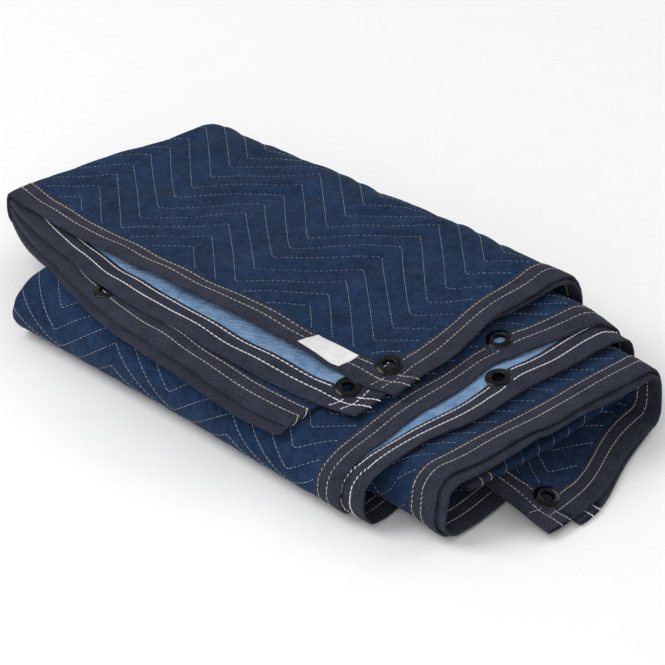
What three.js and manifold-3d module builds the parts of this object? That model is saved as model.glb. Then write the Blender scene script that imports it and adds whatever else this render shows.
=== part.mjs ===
// A quilted sound blanket with bound edges and eyelets, folded in quarters and rolled flat.
// Millimetres, +Z up. The blanket lies on z = 0. X runs along the strip of four folded layers,
// and Y is the way that the strip is rolled.
import * as THREE from 'three';
import { mergeVertices } from 'three/addons/utils/BufferGeometryUtils.js';
import Module from 'manifold-3d';

const wasm = await Module();
wasm.setup();

// Cloth
const LAYER_PITCH = 4.0; // from the middle of one folded layer to the middle of the next
const PANEL_HALF = 1.0; // half the thickness of the quilted panel
const EDGE_HALF = 0.35; // half its thickness where the binding presses it
const CLEAR = 0.3; // between pieces that touch
const WELD = 1e-4; // points nearer than this are one
const STACK = 4 * LAYER_PITCH; // four folded layers
const STRIP_LENGTH = 460; // of each folded layer, from its end to its fold

// Binding tape
const TAPE_WIDTH = 32;
const TAPE_THICK = 0.35;
const TAPE_IN = EDGE_HALF + CLEAR; // inside of the tape from the middle of the panel
const TAPE_OUT = TAPE_IN + TAPE_THICK; // outside of the tape
const PANEL_INSET = TAPE_THICK + CLEAR; // the panel's edge, inside the folded tape
const STEP_START = TAPE_WIDTH + CLEAR; // the panel is thin as far as here from the rim
const STEP_END = STEP_START + 2; // and has its full thickness from here

// Roll: the levels of its runs at the top and the bottom, in stacks, and where its turns reach,
// in Y, the outer turn first
const TOP_LEVELS = [6, 5, 4];
const BOTTOM_LEVELS = [0, 1, 2];
const BACK_REACH = [259, 241, 225];
const FRONT_REACH = [-93, -57];
const OUTER_END_Y = 0; // the outer end of the top layer
const INNER_END_Y = 55; // the inner end of the same layer
const RUNS_PER_TURN = 4; // over the top, round the back, along the bottom and up the front
const TURN_STEPS = 5;
const BOTTOM_PLACES = [0.5]; // rows along a run at the bottom, by share
const TOP_PLACES = [[0.76], [0.28, 0.62], [0.5]]; // and along the three runs at the top
const FANNED = [62, 95, 130]; // rows that follow the outer end

// The ends of the strip at stations along the roll, in X: the two bound ends at the right,
// the folded ridge between the other two layers, and the folds at the left
const ENDS = [
  { at: 'outer end', top: 0, second: -11, ridge: -50, left: -519 },
  { at: 'back 1', top: -5, second: 0, ridge: -45, left: -465 },
  { at: 'front 2', top: 33, second: 61, ridge: -24, left: -411 },
  { at: 'top 2', top: 30, second: 76, ridge: -12, left: -414 },
  { at: 'back 2', top: 62, second: 80, ridge: 10, left: -405 },
  { at: 'front 3', top: 120, second: 129, ridge: 92, left: -345 },
  { at: 'back 3', top: 126, second: 130, ridge: 92, left: -335 },
  { at: 'inner end', top: 189, second: 182, ridge: 106, left: -290 },
];

// The four layers of the strip, from the outside in: depth in layers, which way the navy face
// looks, how far the layer's two ends reach past those of the roll at the right, and how far its
// outer end bows out between the right and the left
const LAYERS = {
  top: { depth: 0, navy: -1, bound: true, outerReach: -9, innerReach: 0, bow: 28 },
  second: { depth: 1, navy: 1, bound: true, outerReach: 31, innerReach: 36, bow: 38 },
  third: { depth: 2, navy: -1, bound: false, outerReach: 79, innerReach: 58, bow: 22 },
  fourth: { depth: 3, navy: 1, bound: false, outerReach: 80, innerReach: 58, bow: 23 },
};

// The folds that join the layers: radius and middle in layers, the side that they turn to,
// whether they start at the lower depth, and whether the navy face is outside
const FOLDS = {
  outer: { radius: 1.5, middle: 1.5, side: -1, start: -1, navy: 1 },
  ridge: { radius: 0.5, middle: 2.5, side: 1, start: 1, navy: 1 },
  inner: { radius: 0.5, middle: 1.5, side: -1, start: 1, navy: -1 },
};
const LEFT_RADIUS = FOLDS.outer.radius * LAYER_PITCH;
const RIDGE_RADIUS = FOLDS.ridge.radius * LAYER_PITCH;
const FOLD_STEPS = 3;
const LAYER_PLACES = [0.13, 0.2, 0.28, 0.38, 0.53, 0.71, 0.84]; // from its right end to its left

// Settling: the front hangs, the front right corner is pressed down, the left fold of the top
// stack gapes, the innermost loop stands open, the roll is narrower at the left, and the whole
// pile rises to the right and to the back
const HANG = { from: -30, reach: 85, share: 0.076 };
const CORNER = { from: -230, until: 150, back: 280, share: 0.278 };
const GAPE = { x: -370, reach: 120, y: 150, drop: 30, band: 14, height: 80 };
const LOOP = { from: -60, reach: 210, rise: 15, level: 3, band: 6 };
const SKEW = { rate: 0.000075, zero: -140 };
const SLOPE = { right: 0.164, back: 0.086, both: 0.024, x: -200, halfX: 260, y: 90, halfY: 180 };

// The turns that slid out come down to the floor
const SETTLE = { gap: 4, reach: 80 };
const RIDGE_CLOSINGS = { ridge: 0.6, second: 0.4 }; // the space past the ridge closes in two goes

// The stacks of layers that settle: the level of their outer layer in stacks, whether the others
// lie above or below it, the rows of the table of ends that they lie between, and the share of
// the space that closes. The innermost corner keeps its eyelet clear of the floor
const SETTLED = [
  { level: 0, up: 1, front: 'front 2', back: 'back 1', share: 1 },
  { level: 1, up: 1, front: 'front 3', back: 'back 2', share: 0.9 },
  { level: 5, up: -1, front: 'front 2', back: 'back 2', share: 1 },
  { level: 6, up: -1, front: 'outer end', back: 'back 1', share: 1 },
];

// Quilting on the top face: zigzag rows of stitches drawn into the cloth
const QUILT = {
  pitch: 27, halfPeriod: 76, swing: 35, width: 5, depth: 0.6, margin: 4, parts: 2, shortest: 0.3,
};

// Eyelets: radii of the hole, the barrel and the two flanges. Each is on a layer, at an inset from
// its right end, and along from one end of the roll or from the start of a turn's top
const EYELET = { hole: 6, barrel: 7, rim: 12.6, flange: 0.6, sides: 16 };
const CORNER_INSET = 34;
const EDGE_INSET = 30;
const EYELETS = [
  { name: 'eyelet_top_corner', layer: 'top', inset: CORNER_INSET, end: 'outer', along: CORNER_INSET },
  { name: 'eyelet_second_corner', layer: 'second', inset: CORNER_INSET, end: 'outer', along: CORNER_INSET },
  { name: 'eyelet_outer_end', layer: 'third', inset: 266, end: 'outer', along: 20 },
  { name: 'eyelet_top_side', layer: 'top', inset: EDGE_INSET, turn: 1, along: 189 },
  { name: 'eyelet_second_side', layer: 'second', inset: EDGE_INSET, turn: 1, along: 149 },
  { name: 'eyelet_inner_second', layer: 'second', inset: CORNER_INSET, end: 'inner', along: CORNER_INSET },
  { name: 'eyelet_inner_top', layer: 'top', inset: CORNER_INSET, end: 'inner', along: CORNER_INSET },
];

// Label on the binding of the outer end
const LABEL = { inset: 63, length: 41, from: 4, width: 26, thick: 0.4 };

// The middle of the folded blanket, which is the origin
const MIDDLE = { x: -165.03, y: 83.51 };

const clamp = (value) => Math.min(1, Math.max(0, value));
const smooth = (value) => {
  const v = clamp(value);
  return v * v * (3 - 2 * v);
};
const lerp = (a, b, share) => a + (b - a) * share;
const steps = (count) => Array.from({ length: count + 1 }, (_, i) => i / count);

// The roll's line in Y and Z for the middle of the top layer: straight runs and half circles
function makeRoll() {
  const level = (stacks) => PANEL_HALF + stacks * STACK;
  const tops = TOP_LEVELS.map(level);
  const bottoms = BOTTOM_LEVELS.map(level);
  const roll = { runs: [], stations: [0], length: 0 };
  const addLine = (from, to, z) => {
    const size = Math.abs(to - from);
    if (z === tops[1]) {
      roll.stations.push(roll.length + size / 2);
    }
    roll.runs.push({ start: roll.length, size, y: from, z, way: Math.sign(to - from) });
    roll.length += size;
  };
  const addTurn = (y, from, to, side) => {
    const radius = Math.abs(to - from) / 2;
    const size = Math.PI * radius;
    roll.runs.push({ start: roll.length, size, y, z: (from + to) / 2, radius, side });
    roll.stations.push(roll.length + size / 2);
    roll.length += size;
  };
  let y = OUTER_END_Y;
  BACK_REACH.forEach((reach, i) => {
    const back = reach - (tops[i] - bottoms[i]) / 2;
    addLine(y, back, tops[i]);
    addTurn(back, tops[i], bottoms[i], 1);
    if (i < FRONT_REACH.length) {
      y = FRONT_REACH[i] + (tops[i + 1] - bottoms[i]) / 2;
      addLine(back, y, bottoms[i]);
      addTurn(y, bottoms[i], tops[i + 1], -1);
    } else {
      addLine(back, INNER_END_Y, bottoms[i]);
    }
  });
  roll.stations.push(roll.length);
  return roll;
}
const ROLL = makeRoll();

// The point of the roll at a distance along it, moved in by a depth
function rollPoint(distance, depth) {
  const { runs } = ROLL;
  const run = runs.find((r) => distance < r.start + r.size) ?? runs[runs.length - 1];
  const along = distance - run.start;
  if (run.radius === undefined) {
    return { y: run.y + run.way * along, z: run.z - run.way * depth };
  }
  const angle = along / run.radius;
  const radius = run.radius - depth;
  return {
    y: run.y + run.side * radius * Math.sin(angle),
    z: run.z + run.side * radius * Math.cos(angle),
  };
}

// One column of the table of ends at a distance along the roll
function endAt(column, distance) {
  const { stations } = ROLL;
  const last = stations.length - 2;
  const after = stations.findIndex((s) => distance < s);
  const i = after < 0 ? last : Math.max(0, after - 1);
  const share = smooth((distance - stations[i]) / (stations[i + 1] - stations[i]));
  return lerp(ENDS[i][column], ENDS[i + 1][column], share);
}

const endsAt = (name) => ENDS.find(({ at }) => at === name);

// A bare space is left past the end of each layer. Its height, and its end at the back and front
function bareSpaces() {
  const spaces = [];
  SETTLED.forEach(({ level, up, front, back, share }) => {
    Object.entries(LAYERS).forEach(([name, layer]) => {
      const closings = layer.bound ? { [name]: 1 } : RIDGE_CLOSINGS;
      Object.entries(closings).forEach(([column, closing]) => spaces.push({
        base: PANEL_HALF + level * STACK + (up * layer.depth - 0.5) * LAYER_PITCH,
        front: endsAt(front)[column],
        back: endsAt(back)[column],
        closing: closing * share,
      }));
    });
  });
  return spaces;
}
const SPACES = bareSpaces();

// The cloth above a bare space comes down and closes it
function settled(x, y, z) {
  const share = smooth((y - FRONT_REACH[0]) / (BACK_REACH[0] - FRONT_REACH[0]));
  return SPACES.reduce((height, { base, front, back, closing }) => {
    const closed = smooth((x - lerp(front, back, share) - SETTLE.gap) / SETTLE.reach);
    return height - LAYER_PITCH * closing * closed * clamp((z - base) / LAYER_PITCH);
  }, z);
}

// A point of the even roll, moved to where the uneven one has it
function shaped(x, y, z) {
  const hang = HANG.share * smooth((HANG.from - y) / HANG.reach);
  const pressed = CORNER.share * smooth(1 - x / CORNER.from) * smooth(1 - x / CORNER.until)
    * (1 - y / CORNER.back);
  const loopMiddle = PANEL_HALF + LOOP.level * STACK - LAYER_PITCH / 2;
  const rise = LOOP.rise * smooth((x - LOOP.from) / LOOP.reach)
    * clamp((z - loopMiddle) / LOOP.band);
  const gape = GAPE.drop * smooth((GAPE.x - x) / GAPE.reach) * smooth(1 - y / GAPE.y)
    * clamp((TOP_LEVELS[0] * STACK - z) / GAPE.band) * clamp(z / GAPE.height);
  const right = (x - SLOPE.x) / SLOPE.halfX;
  const back = (y - SLOPE.y) / SLOPE.halfY;
  const slope = 1 + SLOPE.right * right + SLOPE.back * back + SLOPE.both * right * back;
  const height = (settled(x, y, z) + rise - gape) * (1 - hang) * (1 - pressed) * slope;
  const wide = 1 + SKEW.rate * (x - SKEW.zero);
  return new THREE.Vector3(x, y * wide, height);
}

// A place across the strip is on a layer, by its share of the way to the left or by its distance
// from the layer's right end, or on a fold, by its share of the half turn
const onLayer = (layer, share) => ({ layer, share });
const fromEnd = (layer, inset) => ({ layer, inset });
const onFold = (fold, share) => ({ fold, share });

// How far a place's ends reach past those of the top layer: more the nearer to the right
function reachAt(place, column) {
  if (place.fold === 'ridge') {
    return lerp(LAYERS.fourth[column], LAYERS.third[column], place.share);
  }
  if (place.fold) {
    return 0;
  }
  const left = place.share ?? place.inset / STRIP_LENGTH;
  const bow = column === 'outerReach' ? 4 * LAYERS[place.layer].bow * left * (1 - left) : 0;
  return LAYERS[place.layer][column] * (1 - left * left) + bow;
}

// A row along the roll is at a distance from its start, or from the outer or inner end
function rowDistance(row, place) {
  if (row.end === 'outer') {
    return row.along - reachAt(place, 'outerReach');
  }
  if (row.end === 'inner') {
    return ROLL.length + reachAt(place, 'innerReach') - row.along;
  }
  return row.distance;
}

// The point of the cloth at a place and row, lifted off the middle towards the navy face
function clothPoint(place, row, lift) {
  const distance = rowDistance(row, place);
  const left = endAt('left', distance) + LEFT_RADIUS;
  let x;
  let depth;
  if (place.fold) {
    const fold = FOLDS[place.fold];
    const middle = place.fold === 'ridge' ? endAt('ridge', distance) - RIDGE_RADIUS : left;
    const radius = fold.radius * LAYER_PITCH + fold.navy * lift;
    const angle = Math.PI * place.share;
    x = middle + fold.side * radius * Math.sin(angle);
    depth = fold.middle * LAYER_PITCH + fold.start * radius * Math.cos(angle);
  } else {
    const layer = LAYERS[place.layer];
    const right = layer.bound
      ? endAt(place.layer, distance)
      : endAt('ridge', distance) - RIDGE_RADIUS;
    x = place.inset === undefined ? lerp(right, left, place.share) : right - place.inset;
    depth = layer.depth * LAYER_PITCH + layer.navy * lift;
  }
  const { y, z } = rollPoint(distance, depth);
  return shaped(x, y, z);
}

// The places and rows that the panel's points lie on, without those at its edges
function innerPlaces() {
  const layer = (name, shares) => shares.map((share) => onLayer(name, share));
  const fold = (name) => steps(FOLD_STEPS).map((share) => onFold(name, share));
  const toLeft = LAYER_PLACES;
  const toRight = [...LAYER_PLACES].reverse();
  return [
    ...layer('top', toLeft),
    ...fold('outer'),
    ...layer('fourth', toRight),
    ...fold('ridge'),
    ...layer('third', toLeft),
    ...fold('inner'),
    ...layer('second', toRight),
  ];
}

function innerRows() {
  const rows = [];
  ROLL.runs.forEach((run, i) => {
    const turned = run.radius !== undefined;
    const straight = run.way > 0 ? TOP_PLACES[i / RUNS_PER_TURN] : BOTTOM_PLACES;
    const shares = turned ? steps(TURN_STEPS) : straight;
    shares.forEach((share) => rows.push({ distance: run.start + share * run.size }));
  });
  const fanned = FANNED.map((along) => ({ end: 'outer', along }));
  return [...fanned, ...rows];
}
const INNER_PLACES = innerPlaces();
const INNER_ROWS = innerRows();

const atEdges = (insets, inner, start, end) => [
  ...insets.map(start),
  ...inner,
  ...[...insets].reverse().map(end),
];
const placesFrom = (insets) => atEdges(
  insets,
  INNER_PLACES,
  (inset) => fromEnd('top', inset),
  (inset) => fromEnd('second', inset),
);
const rowsFrom = (insets) => atEdges(
  insets,
  INNER_ROWS,
  (along) => ({ end: 'outer', along }),
  (along) => ({ end: 'inner', along }),
);

// Stacked layers keep clear of each other because every quad of the cloth is halved the same way,
// from its right corner to the left corner further along the roll
const leftward = (a, b) => ['top', 'third'].includes(a.layer ?? b.layer);

// Triangles of a closed mesh swept round a ring of points: rings[i][j], with its two ends closed
// by the quads that a list of four ring places gives. Quads are halved the other way where swap
// says so
function sweptGeometry(rings, endQuads, swap = () => false) {
  const count = rings[0].length;
  const positions = rings.flat().flatMap((p) => [p.x, p.y, p.z]);
  const index = [];
  const quad = (a, b, c, d) => index.push(a, b, c, a, c, d);
  for (let i = 0; i + 1 < rings.length; i += 1) {
    for (let j = 0; j < count; j += 1) {
      const k = (j + 1) % count;
      const corners = [i * count + j, i * count + k, (i + 1) * count + k, (i + 1) * count + j];
      if (swap(i, j)) {
        corners.push(corners.shift());
      }
      quad(...corners);
    }
  }
  const last = (rings.length - 1) * count;
  endQuads.forEach(([a, b, c, d]) => {
    quad(d, c, b, a);
    quad(last + a, last + b, last + c, last + d);
  });
  const geometry = new THREE.BufferGeometry();
  geometry.setAttribute('position', new THREE.Float32BufferAttribute(positions, 3));
  geometry.setIndex(index);
  return facingOut(geometry);
}

// Six times the enclosed volume is positive where the faces point out
function facingOut(geometry) {
  const position = geometry.getAttribute('position');
  const index = geometry.getIndex();
  const corner = (i) => new THREE.Vector3().fromBufferAttribute(position, index.getX(i));
  let volume = 0;
  for (let i = 0; i < index.count; i += 3) {
    volume += corner(i).dot(corner(i + 1).cross(corner(i + 2)));
  }
  if (volume < 0) {
    const array = index.array;
    for (let i = 0; i < index.count; i += 3) {
      [array[i], array[i + 1]] = [array[i + 1], array[i]];
    }
  }
  return geometry;
}

function toSolid(geometry) {
  const bare = geometry.clone();
  bare.deleteAttribute('normal');
  bare.deleteAttribute('uv');
  const merged = mergeVertices(bare, WELD);
  return new wasm.Manifold(new wasm.Mesh({
    numProp: 3,
    vertProperties: new Float32Array(merged.getAttribute('position').array),
    triVerts: new Uint32Array(merged.getIndex().array),
  }));
}

function fromSolid(solid) {
  const mesh = solid.getMesh();
  const geometry = new THREE.BufferGeometry();
  geometry.setAttribute('position', new THREE.BufferAttribute(mesh.vertProperties, 3));
  geometry.setIndex(new THREE.BufferAttribute(mesh.triVerts, 1));
  geometry.computeVertexNormals();
  return geometry;
}

// The quilted panel: thin under the binding, and full between
function panelGeometry() {
  const insets = [PANEL_INSET, STEP_START, STEP_END];
  const places = placesFrom(insets);
  const rows = rowsFrom(insets);
  const thin = (item) => Math.min(item.inset ?? STEP_END, item.along ?? STEP_END) < STEP_END;
  const rings = rows.map((row) => {
    const half = (place) => (thin(row) || thin(place) ? EDGE_HALF : PANEL_HALF);
    const navyFace = places.map((place) => clothPoint(place, row, half(place)));
    const otherFace = places.map((place) => clothPoint(place, row, -half(place)));
    return [...navyFace, ...otherFace.reverse()];
  });
  const last = 2 * places.length - 1;
  const endQuads = places.slice(1).map((_, i) => [i, i + 1, last - i - 1, last - i]);
  const left = places.slice(1).map((place, j) => leftward(places[j], place));
  const swap = (i, j) => (j < places.length ? !left[j] : left[last - j - 1]);
  return sweptGeometry(rings, endQuads, swap);
}

// The binding's folded section: distance from the rim and lift off the middle of the panel
const TAPE_SECTION = [
  [TAPE_WIDTH, TAPE_OUT],
  [0, TAPE_OUT],
  [0, -TAPE_OUT],
  [TAPE_WIDTH, -TAPE_OUT],
  [TAPE_WIDTH, -TAPE_IN],
  [TAPE_THICK, -TAPE_IN],
  [TAPE_THICK, TAPE_IN],
  [TAPE_WIDTH, TAPE_IN],
];
const towardRim = (j) => TAPE_SECTION[(j + 1) % TAPE_SECTION.length][0] < TAPE_SECTION[j][0];
const TAPE_ENDS = [[0, 1, 6, 7], [1, 2, 5, 6], [2, 3, 4, 5]];

// Binding along a bound side, between the bindings of the two ends
function sideTapeGeometry(layer) {
  const rows = rowsFrom([STEP_START, STEP_END]);
  const rings = rows.map((row) => TAPE_SECTION.map(
    ([inset, lift]) => clothPoint(fromEnd(layer, inset), row, lift),
  ));
  return sweptGeometry(rings, TAPE_ENDS, (i, j) => towardRim(j));
}

// Binding along an end of the roll, over all four layers and their folds
function endTapeGeometry(end) {
  const places = placesFrom([0, STEP_START, STEP_END]);
  const rings = places.map((place) => TAPE_SECTION.map(
    ([along, lift]) => clothPoint(place, { end, along }, lift),
  ));
  const onward = (j) => towardRim(j) === (end === 'inner');
  const swap = (i, j) => leftward(places[i], places[i + 1]) !== onward(j);
  return sweptGeometry(rings, TAPE_ENDS, swap);
}

// An eyelet's section, as a barrel with a flange on each face, grown by a clearance
function eyeletGeometry(grow) {
  const inner = grow > 0 ? 0 : EYELET.hole;
  const low = PANEL_HALF + CLEAR - grow;
  const high = PANEL_HALF + CLEAR + EYELET.flange + grow;
  const rim = EYELET.rim + grow;
  const barrel = EYELET.barrel + grow;
  const outline = [
    [inner, -high], [rim, -high], [rim, -low], [barrel, -low],
    [barrel, low], [rim, low], [rim, high], [inner, high],
  ];
  const closing = grow > 0 ? [] : [outline[0]];
  const points = [...outline, ...closing].map(([r, h]) => new THREE.Vector2(r, h));
  const geometry = new THREE.LatheGeometry(points, EYELET.sides);
  geometry.deleteAttribute('normal');
  geometry.deleteAttribute('uv');
  return facingOut(mergeVertices(geometry, WELD));
}

// Where an eyelet sits: on its layer, square to the cloth around it
function eyeletMatrix({ layer, inset, end, turn, along }) {
  const rowAt = (step) => (end
    ? { end, along: along + step }
    : { distance: ROLL.runs[RUNS_PER_TURN * turn].start + along + step });
  const { rim } = EYELET;
  const at = (across, step) => clothPoint(fromEnd(layer, inset + across), rowAt(step), 0);
  const around = [at(rim, 0), at(-rim, 0), at(0, rim), at(0, -rim)];
  const [left, right, onward, back] = around;
  const acrossWay = left.clone().sub(right).normalize();
  const rollWay = onward.clone().sub(back).normalize();
  const normal = acrossWay.clone().cross(rollWay).normalize();
  const middle = new THREE.Vector3();
  around.forEach((point) => middle.add(point));
  middle.divideScalar(around.length);
  const third = acrossWay.clone().cross(normal);
  return new THREE.Matrix4().makeBasis(acrossWay, normal, third).setPosition(middle);
}

// The height of a body's upper face over a point
function heightsOver(geometry) {
  const body = new THREE.Mesh(geometry);
  const caster = new THREE.Raycaster();
  const down = new THREE.Vector3(0, 0, -1);
  const above = TOP_LEVELS[0] * STACK + LOOP.rise;
  return (x, y) => {
    caster.set(new THREE.Vector3(x, y, above), down);
    return caster.intersectObject(body)[0].point.z;
  };
}

// Zigzag grooves of the quilting in the top face of the panel
function quiltGrooves(panel) {
  const heightOver = heightsOver(panel);
  const nearest = STEP_END + QUILT.margin;
  const furthest = ROLL.runs[0].size - QUILT.margin;
  const { top, left } = endsAt('back 1');
  const count = Math.floor((top - left - STACK - nearest) / QUILT.halfPeriod);
  const grooves = [];
  for (let base = nearest - QUILT.swing; base < furthest; base += QUILT.pitch) {
    for (let i = 0; i < count; i += 1) {
      const inset = nearest + i * QUILT.halfPeriod;
      const [from, to] = [i, i + 1].map((corner) => base + (corner % 2) * 2 * QUILT.swing);
      const limits = [nearest, furthest].map((limit) => clamp((limit - from) / (to - from)));
      const [first, last] = limits.sort((a, b) => a - b);
      const centres = steps(QUILT.parts).map((step) => {
        const share = lerp(first, last, step);
        const place = fromEnd('top', inset + share * QUILT.halfPeriod);
        return clothPoint(place, { end: 'outer', along: lerp(from, to, share) }, PANEL_HALF);
      });
      if (last - first > QUILT.shortest) {
        grooves.push(grooveGeometry(centres, heightOver));
      }
    }
  }
  return grooves;
}

// One straight groove along a line of points, sunk into the face under it
function grooveGeometry(centres, heightOver) {
  const way = centres[centres.length - 1].clone().sub(centres[0]).setZ(0).normalize();
  const side = new THREE.Vector3(-way.y, way.x, 0).multiplyScalar(QUILT.width / 2);
  const onFace = ({ x, y }, lift) => new THREE.Vector3(x, y, heightOver(x, y) + lift);
  const rings = centres.map((centre) => [
    onFace(centre.clone().add(side), QUILT.depth),
    onFace(centre.clone().sub(side), QUILT.depth),
    onFace(centre, -QUILT.depth),
  ]);
  return sweptGeometry(rings, [[0, 1, 2, 2]]);
}

// The label, on the binding of the outer end
function labelGeometry() {
  const insets = [LABEL.inset, LABEL.inset + LABEL.length];
  const low = TAPE_OUT + CLEAR;
  const ring = (inset) => [
    [LABEL.from, low + LABEL.thick],
    [LABEL.from, low],
    [LABEL.from + LABEL.width, low],
    [LABEL.from + LABEL.width, low + LABEL.thick],
  ].map(([along, lift]) => clothPoint(fromEnd('top', inset), { end: 'outer', along }, lift));
  return sweptGeometry(insets.map(ring), [[0, 1, 2, 3]]);
}

// Materials
const finish = (color, roughness, metalness) => (
  new THREE.MeshStandardMaterial({ color, roughness, metalness })
);
const CLOTH = finish(0x26395f, 0.9, 0);
const TAPE = finish(0x37353d, 0.85, 0);
const ENAMEL = finish(0x101012, 0.3, 0.2);
const LABEL_CLOTH = finish(0xf2f2f0, 0.8, 0);

const blanket = new THREE.Group();
blanket.position.set(-MIDDLE.x, -MIDDLE.y, 0);
function addPiece(name, geometry, material) {
  const mesh = new THREE.Mesh(geometry, material);
  mesh.name = name;
  blanket.add(mesh);
}

// Every eyelet is pressed through the panel and the binding
const holes = EYELETS.map((eyelet) => (
  toSolid(eyeletGeometry(CLEAR).applyMatrix4(eyeletMatrix(eyelet)))
));
const pierced = (geometry) => fromSolid(
  holes.reduce((solid, hole) => solid.subtract(hole), toSolid(geometry)),
);
const plain = panelGeometry();
const quilted = quiltGrooves(plain).reduce(
  (solid, groove) => solid.subtract(toSolid(groove)),
  toSolid(plain),
);
addPiece('panel', pierced(fromSolid(quilted)), CLOTH);
addPiece('binding_outer_end', pierced(endTapeGeometry('outer')), TAPE);
addPiece('binding_inner_end', pierced(endTapeGeometry('inner')), TAPE);
addPiece('binding_top_side', pierced(sideTapeGeometry('top')), TAPE);
addPiece('binding_second_side', pierced(sideTapeGeometry('second')), TAPE);
EYELETS.forEach((eyelet) => {
  const geometry = eyeletGeometry(0).applyMatrix4(eyeletMatrix(eyelet));
  addPiece(eyelet.name, geometry, ENAMEL);
});
addPiece('label', labelGeometry(), LABEL_CLOTH);

export default blanket;
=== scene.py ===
# %% [markdown]
# # A sound dampening blanket, folded
# The real thing is one quilted cloth, navy on one face and light blue on the other, with a charcoal
# tape bound over its edges and black eyelets pressed through. It is folded in quarters and rolled
# flat. This lesson dresses the solid model of it: cloth, tape, stitches, eyelets and a label.

# %% Load the solid model
import math

import bmesh
import bpy
import numpy as np
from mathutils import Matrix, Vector
from mathutils.bvhtree import BVHTree


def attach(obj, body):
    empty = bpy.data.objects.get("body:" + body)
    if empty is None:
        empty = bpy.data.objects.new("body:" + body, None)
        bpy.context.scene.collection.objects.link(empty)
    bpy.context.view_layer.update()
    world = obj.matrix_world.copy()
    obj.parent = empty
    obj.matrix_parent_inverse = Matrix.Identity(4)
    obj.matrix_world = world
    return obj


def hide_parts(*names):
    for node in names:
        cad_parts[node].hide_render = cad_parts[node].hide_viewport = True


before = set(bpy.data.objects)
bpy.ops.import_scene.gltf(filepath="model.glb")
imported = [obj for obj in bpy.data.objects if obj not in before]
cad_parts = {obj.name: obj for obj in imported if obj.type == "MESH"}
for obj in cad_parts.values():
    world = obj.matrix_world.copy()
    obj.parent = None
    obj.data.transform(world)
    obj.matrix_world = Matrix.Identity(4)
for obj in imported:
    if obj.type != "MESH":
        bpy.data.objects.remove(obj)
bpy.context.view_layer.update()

# %% [markdown]
# ## Camera
# A product photo taken from far off with a long lens has nearly parallel edges. The camera is set by
# its azimuth, elevation and distance around a point of the blanket, and a small shift centres it.

# %% Place the camera
MM = 0.001
VIEW = {"azimuth": 45.46, "elevation": 31.72, "distance": 5.0, "lens": 289.5, "sensor": 36.0}
VIEW_SHIFT = (-0.0004, -0.0043)
VIEW_AIM = Vector((0.00903, 0.00049, 0.045))


def place_camera():
    azimuth = math.radians(VIEW["azimuth"])
    elevation = math.radians(VIEW["elevation"])
    way = Vector((
        math.sin(azimuth) * math.cos(elevation),
        -math.cos(azimuth) * math.cos(elevation),
        math.sin(elevation),
    ))
    data = bpy.data.cameras.new("photo_camera")
    data.lens = VIEW["lens"]
    data.sensor_width = VIEW["sensor"]
    data.shift_x, data.shift_y = VIEW_SHIFT
    data.clip_end = 100
    camera = bpy.data.objects.new("photo_camera", data)
    camera.location = VIEW_AIM + way * VIEW["distance"]
    camera.rotation_euler = (-way).to_track_quat("-Z", "Y").to_euler()
    bpy.context.scene.collection.objects.link(camera)
    bpy.context.scene.camera = camera
    return camera


camera = place_camera()
print("camera at", tuple(round(c, 3) for c in camera.location))

# %% [markdown]
# ## How the blanket is folded
# Every point of the cloth has a place across the folded strip and a distance along the roll. Four
# layers lie on each other, joined by folds at the left and by a ridge at the right. The strip is
# rolled flat, so its line runs over the top, round the back, along the bottom and up the front.
# One rule for all layers keeps them from crossing, so it is better here than pushing points by hand.

# %% Sizes of the fold, in millimetres
LAYER_PITCH = 4.0
PANEL_HALF = 1.0
STACK = 4 * LAYER_PITCH
STRIP_LENGTH = 460.0
TOP_LEVELS = (6, 5, 4)
BOTTOM_LEVELS = (0, 1, 2)
BACK_REACH = (259, 241, 225)
FRONT_REACH = (-93, -57)
OUTER_END_Y = 0
INNER_END_Y = 55
MIDDLE = np.array((-165.03, 83.51, 0.0))
END_COLUMNS = ("top", "second", "ridge", "left")
ENDS = {
    "outer end": (0, -11, -50, -519),
    "back 1": (-5, 0, -45, -465),
    "front 2": (33, 61, -24, -411),
    "top 2": (30, 76, -12, -414),
    "back 2": (62, 80, 10, -405),
    "front 3": (120, 129, 92, -345),
    "back 3": (126, 130, 92, -335),
    "inner end": (189, 182, 106, -290),
}
LAYERS = {
    "top": {"depth": 0, "navy": -1, "bound": True, "outer": -9, "bow": 28, "inner": 0},
    "second": {"depth": 1, "navy": 1, "bound": True, "outer": 31, "bow": 38, "inner": 36},
    "third": {"depth": 2, "navy": -1, "bound": False, "outer": 79, "bow": 22, "inner": 58},
    "fourth": {"depth": 3, "navy": 1, "bound": False, "outer": 90, "bow": 23, "inner": 58},
}
FOLDS = {
    "left outer": {"radius": 1.5, "middle": 1.5, "side": -1, "start": -1, "navy": 1},
    "ridge": {"radius": 0.5, "middle": 2.5, "side": 1, "start": 1, "navy": 1},
    "left inner": {"radius": 0.5, "middle": 1.5, "side": -1, "start": 1, "navy": -1},
}
LEFT_RADIUS = FOLDS["left outer"]["radius"] * LAYER_PITCH
RIDGE_RADIUS = FOLDS["ridge"]["radius"] * LAYER_PITCH
FAN = {"from": 64.0, "outer": 420.0, "inner": 300.0}
EVEN_INSET = 60.0


def end_value(station, column):
    return ENDS[station][END_COLUMNS.index(column)]


def smooth(value):
    v = np.clip(value, 0, 1)
    return v * v * (3 - 2 * v)


def lerp(a, b, share):
    return a + (b - a) * share


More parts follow.
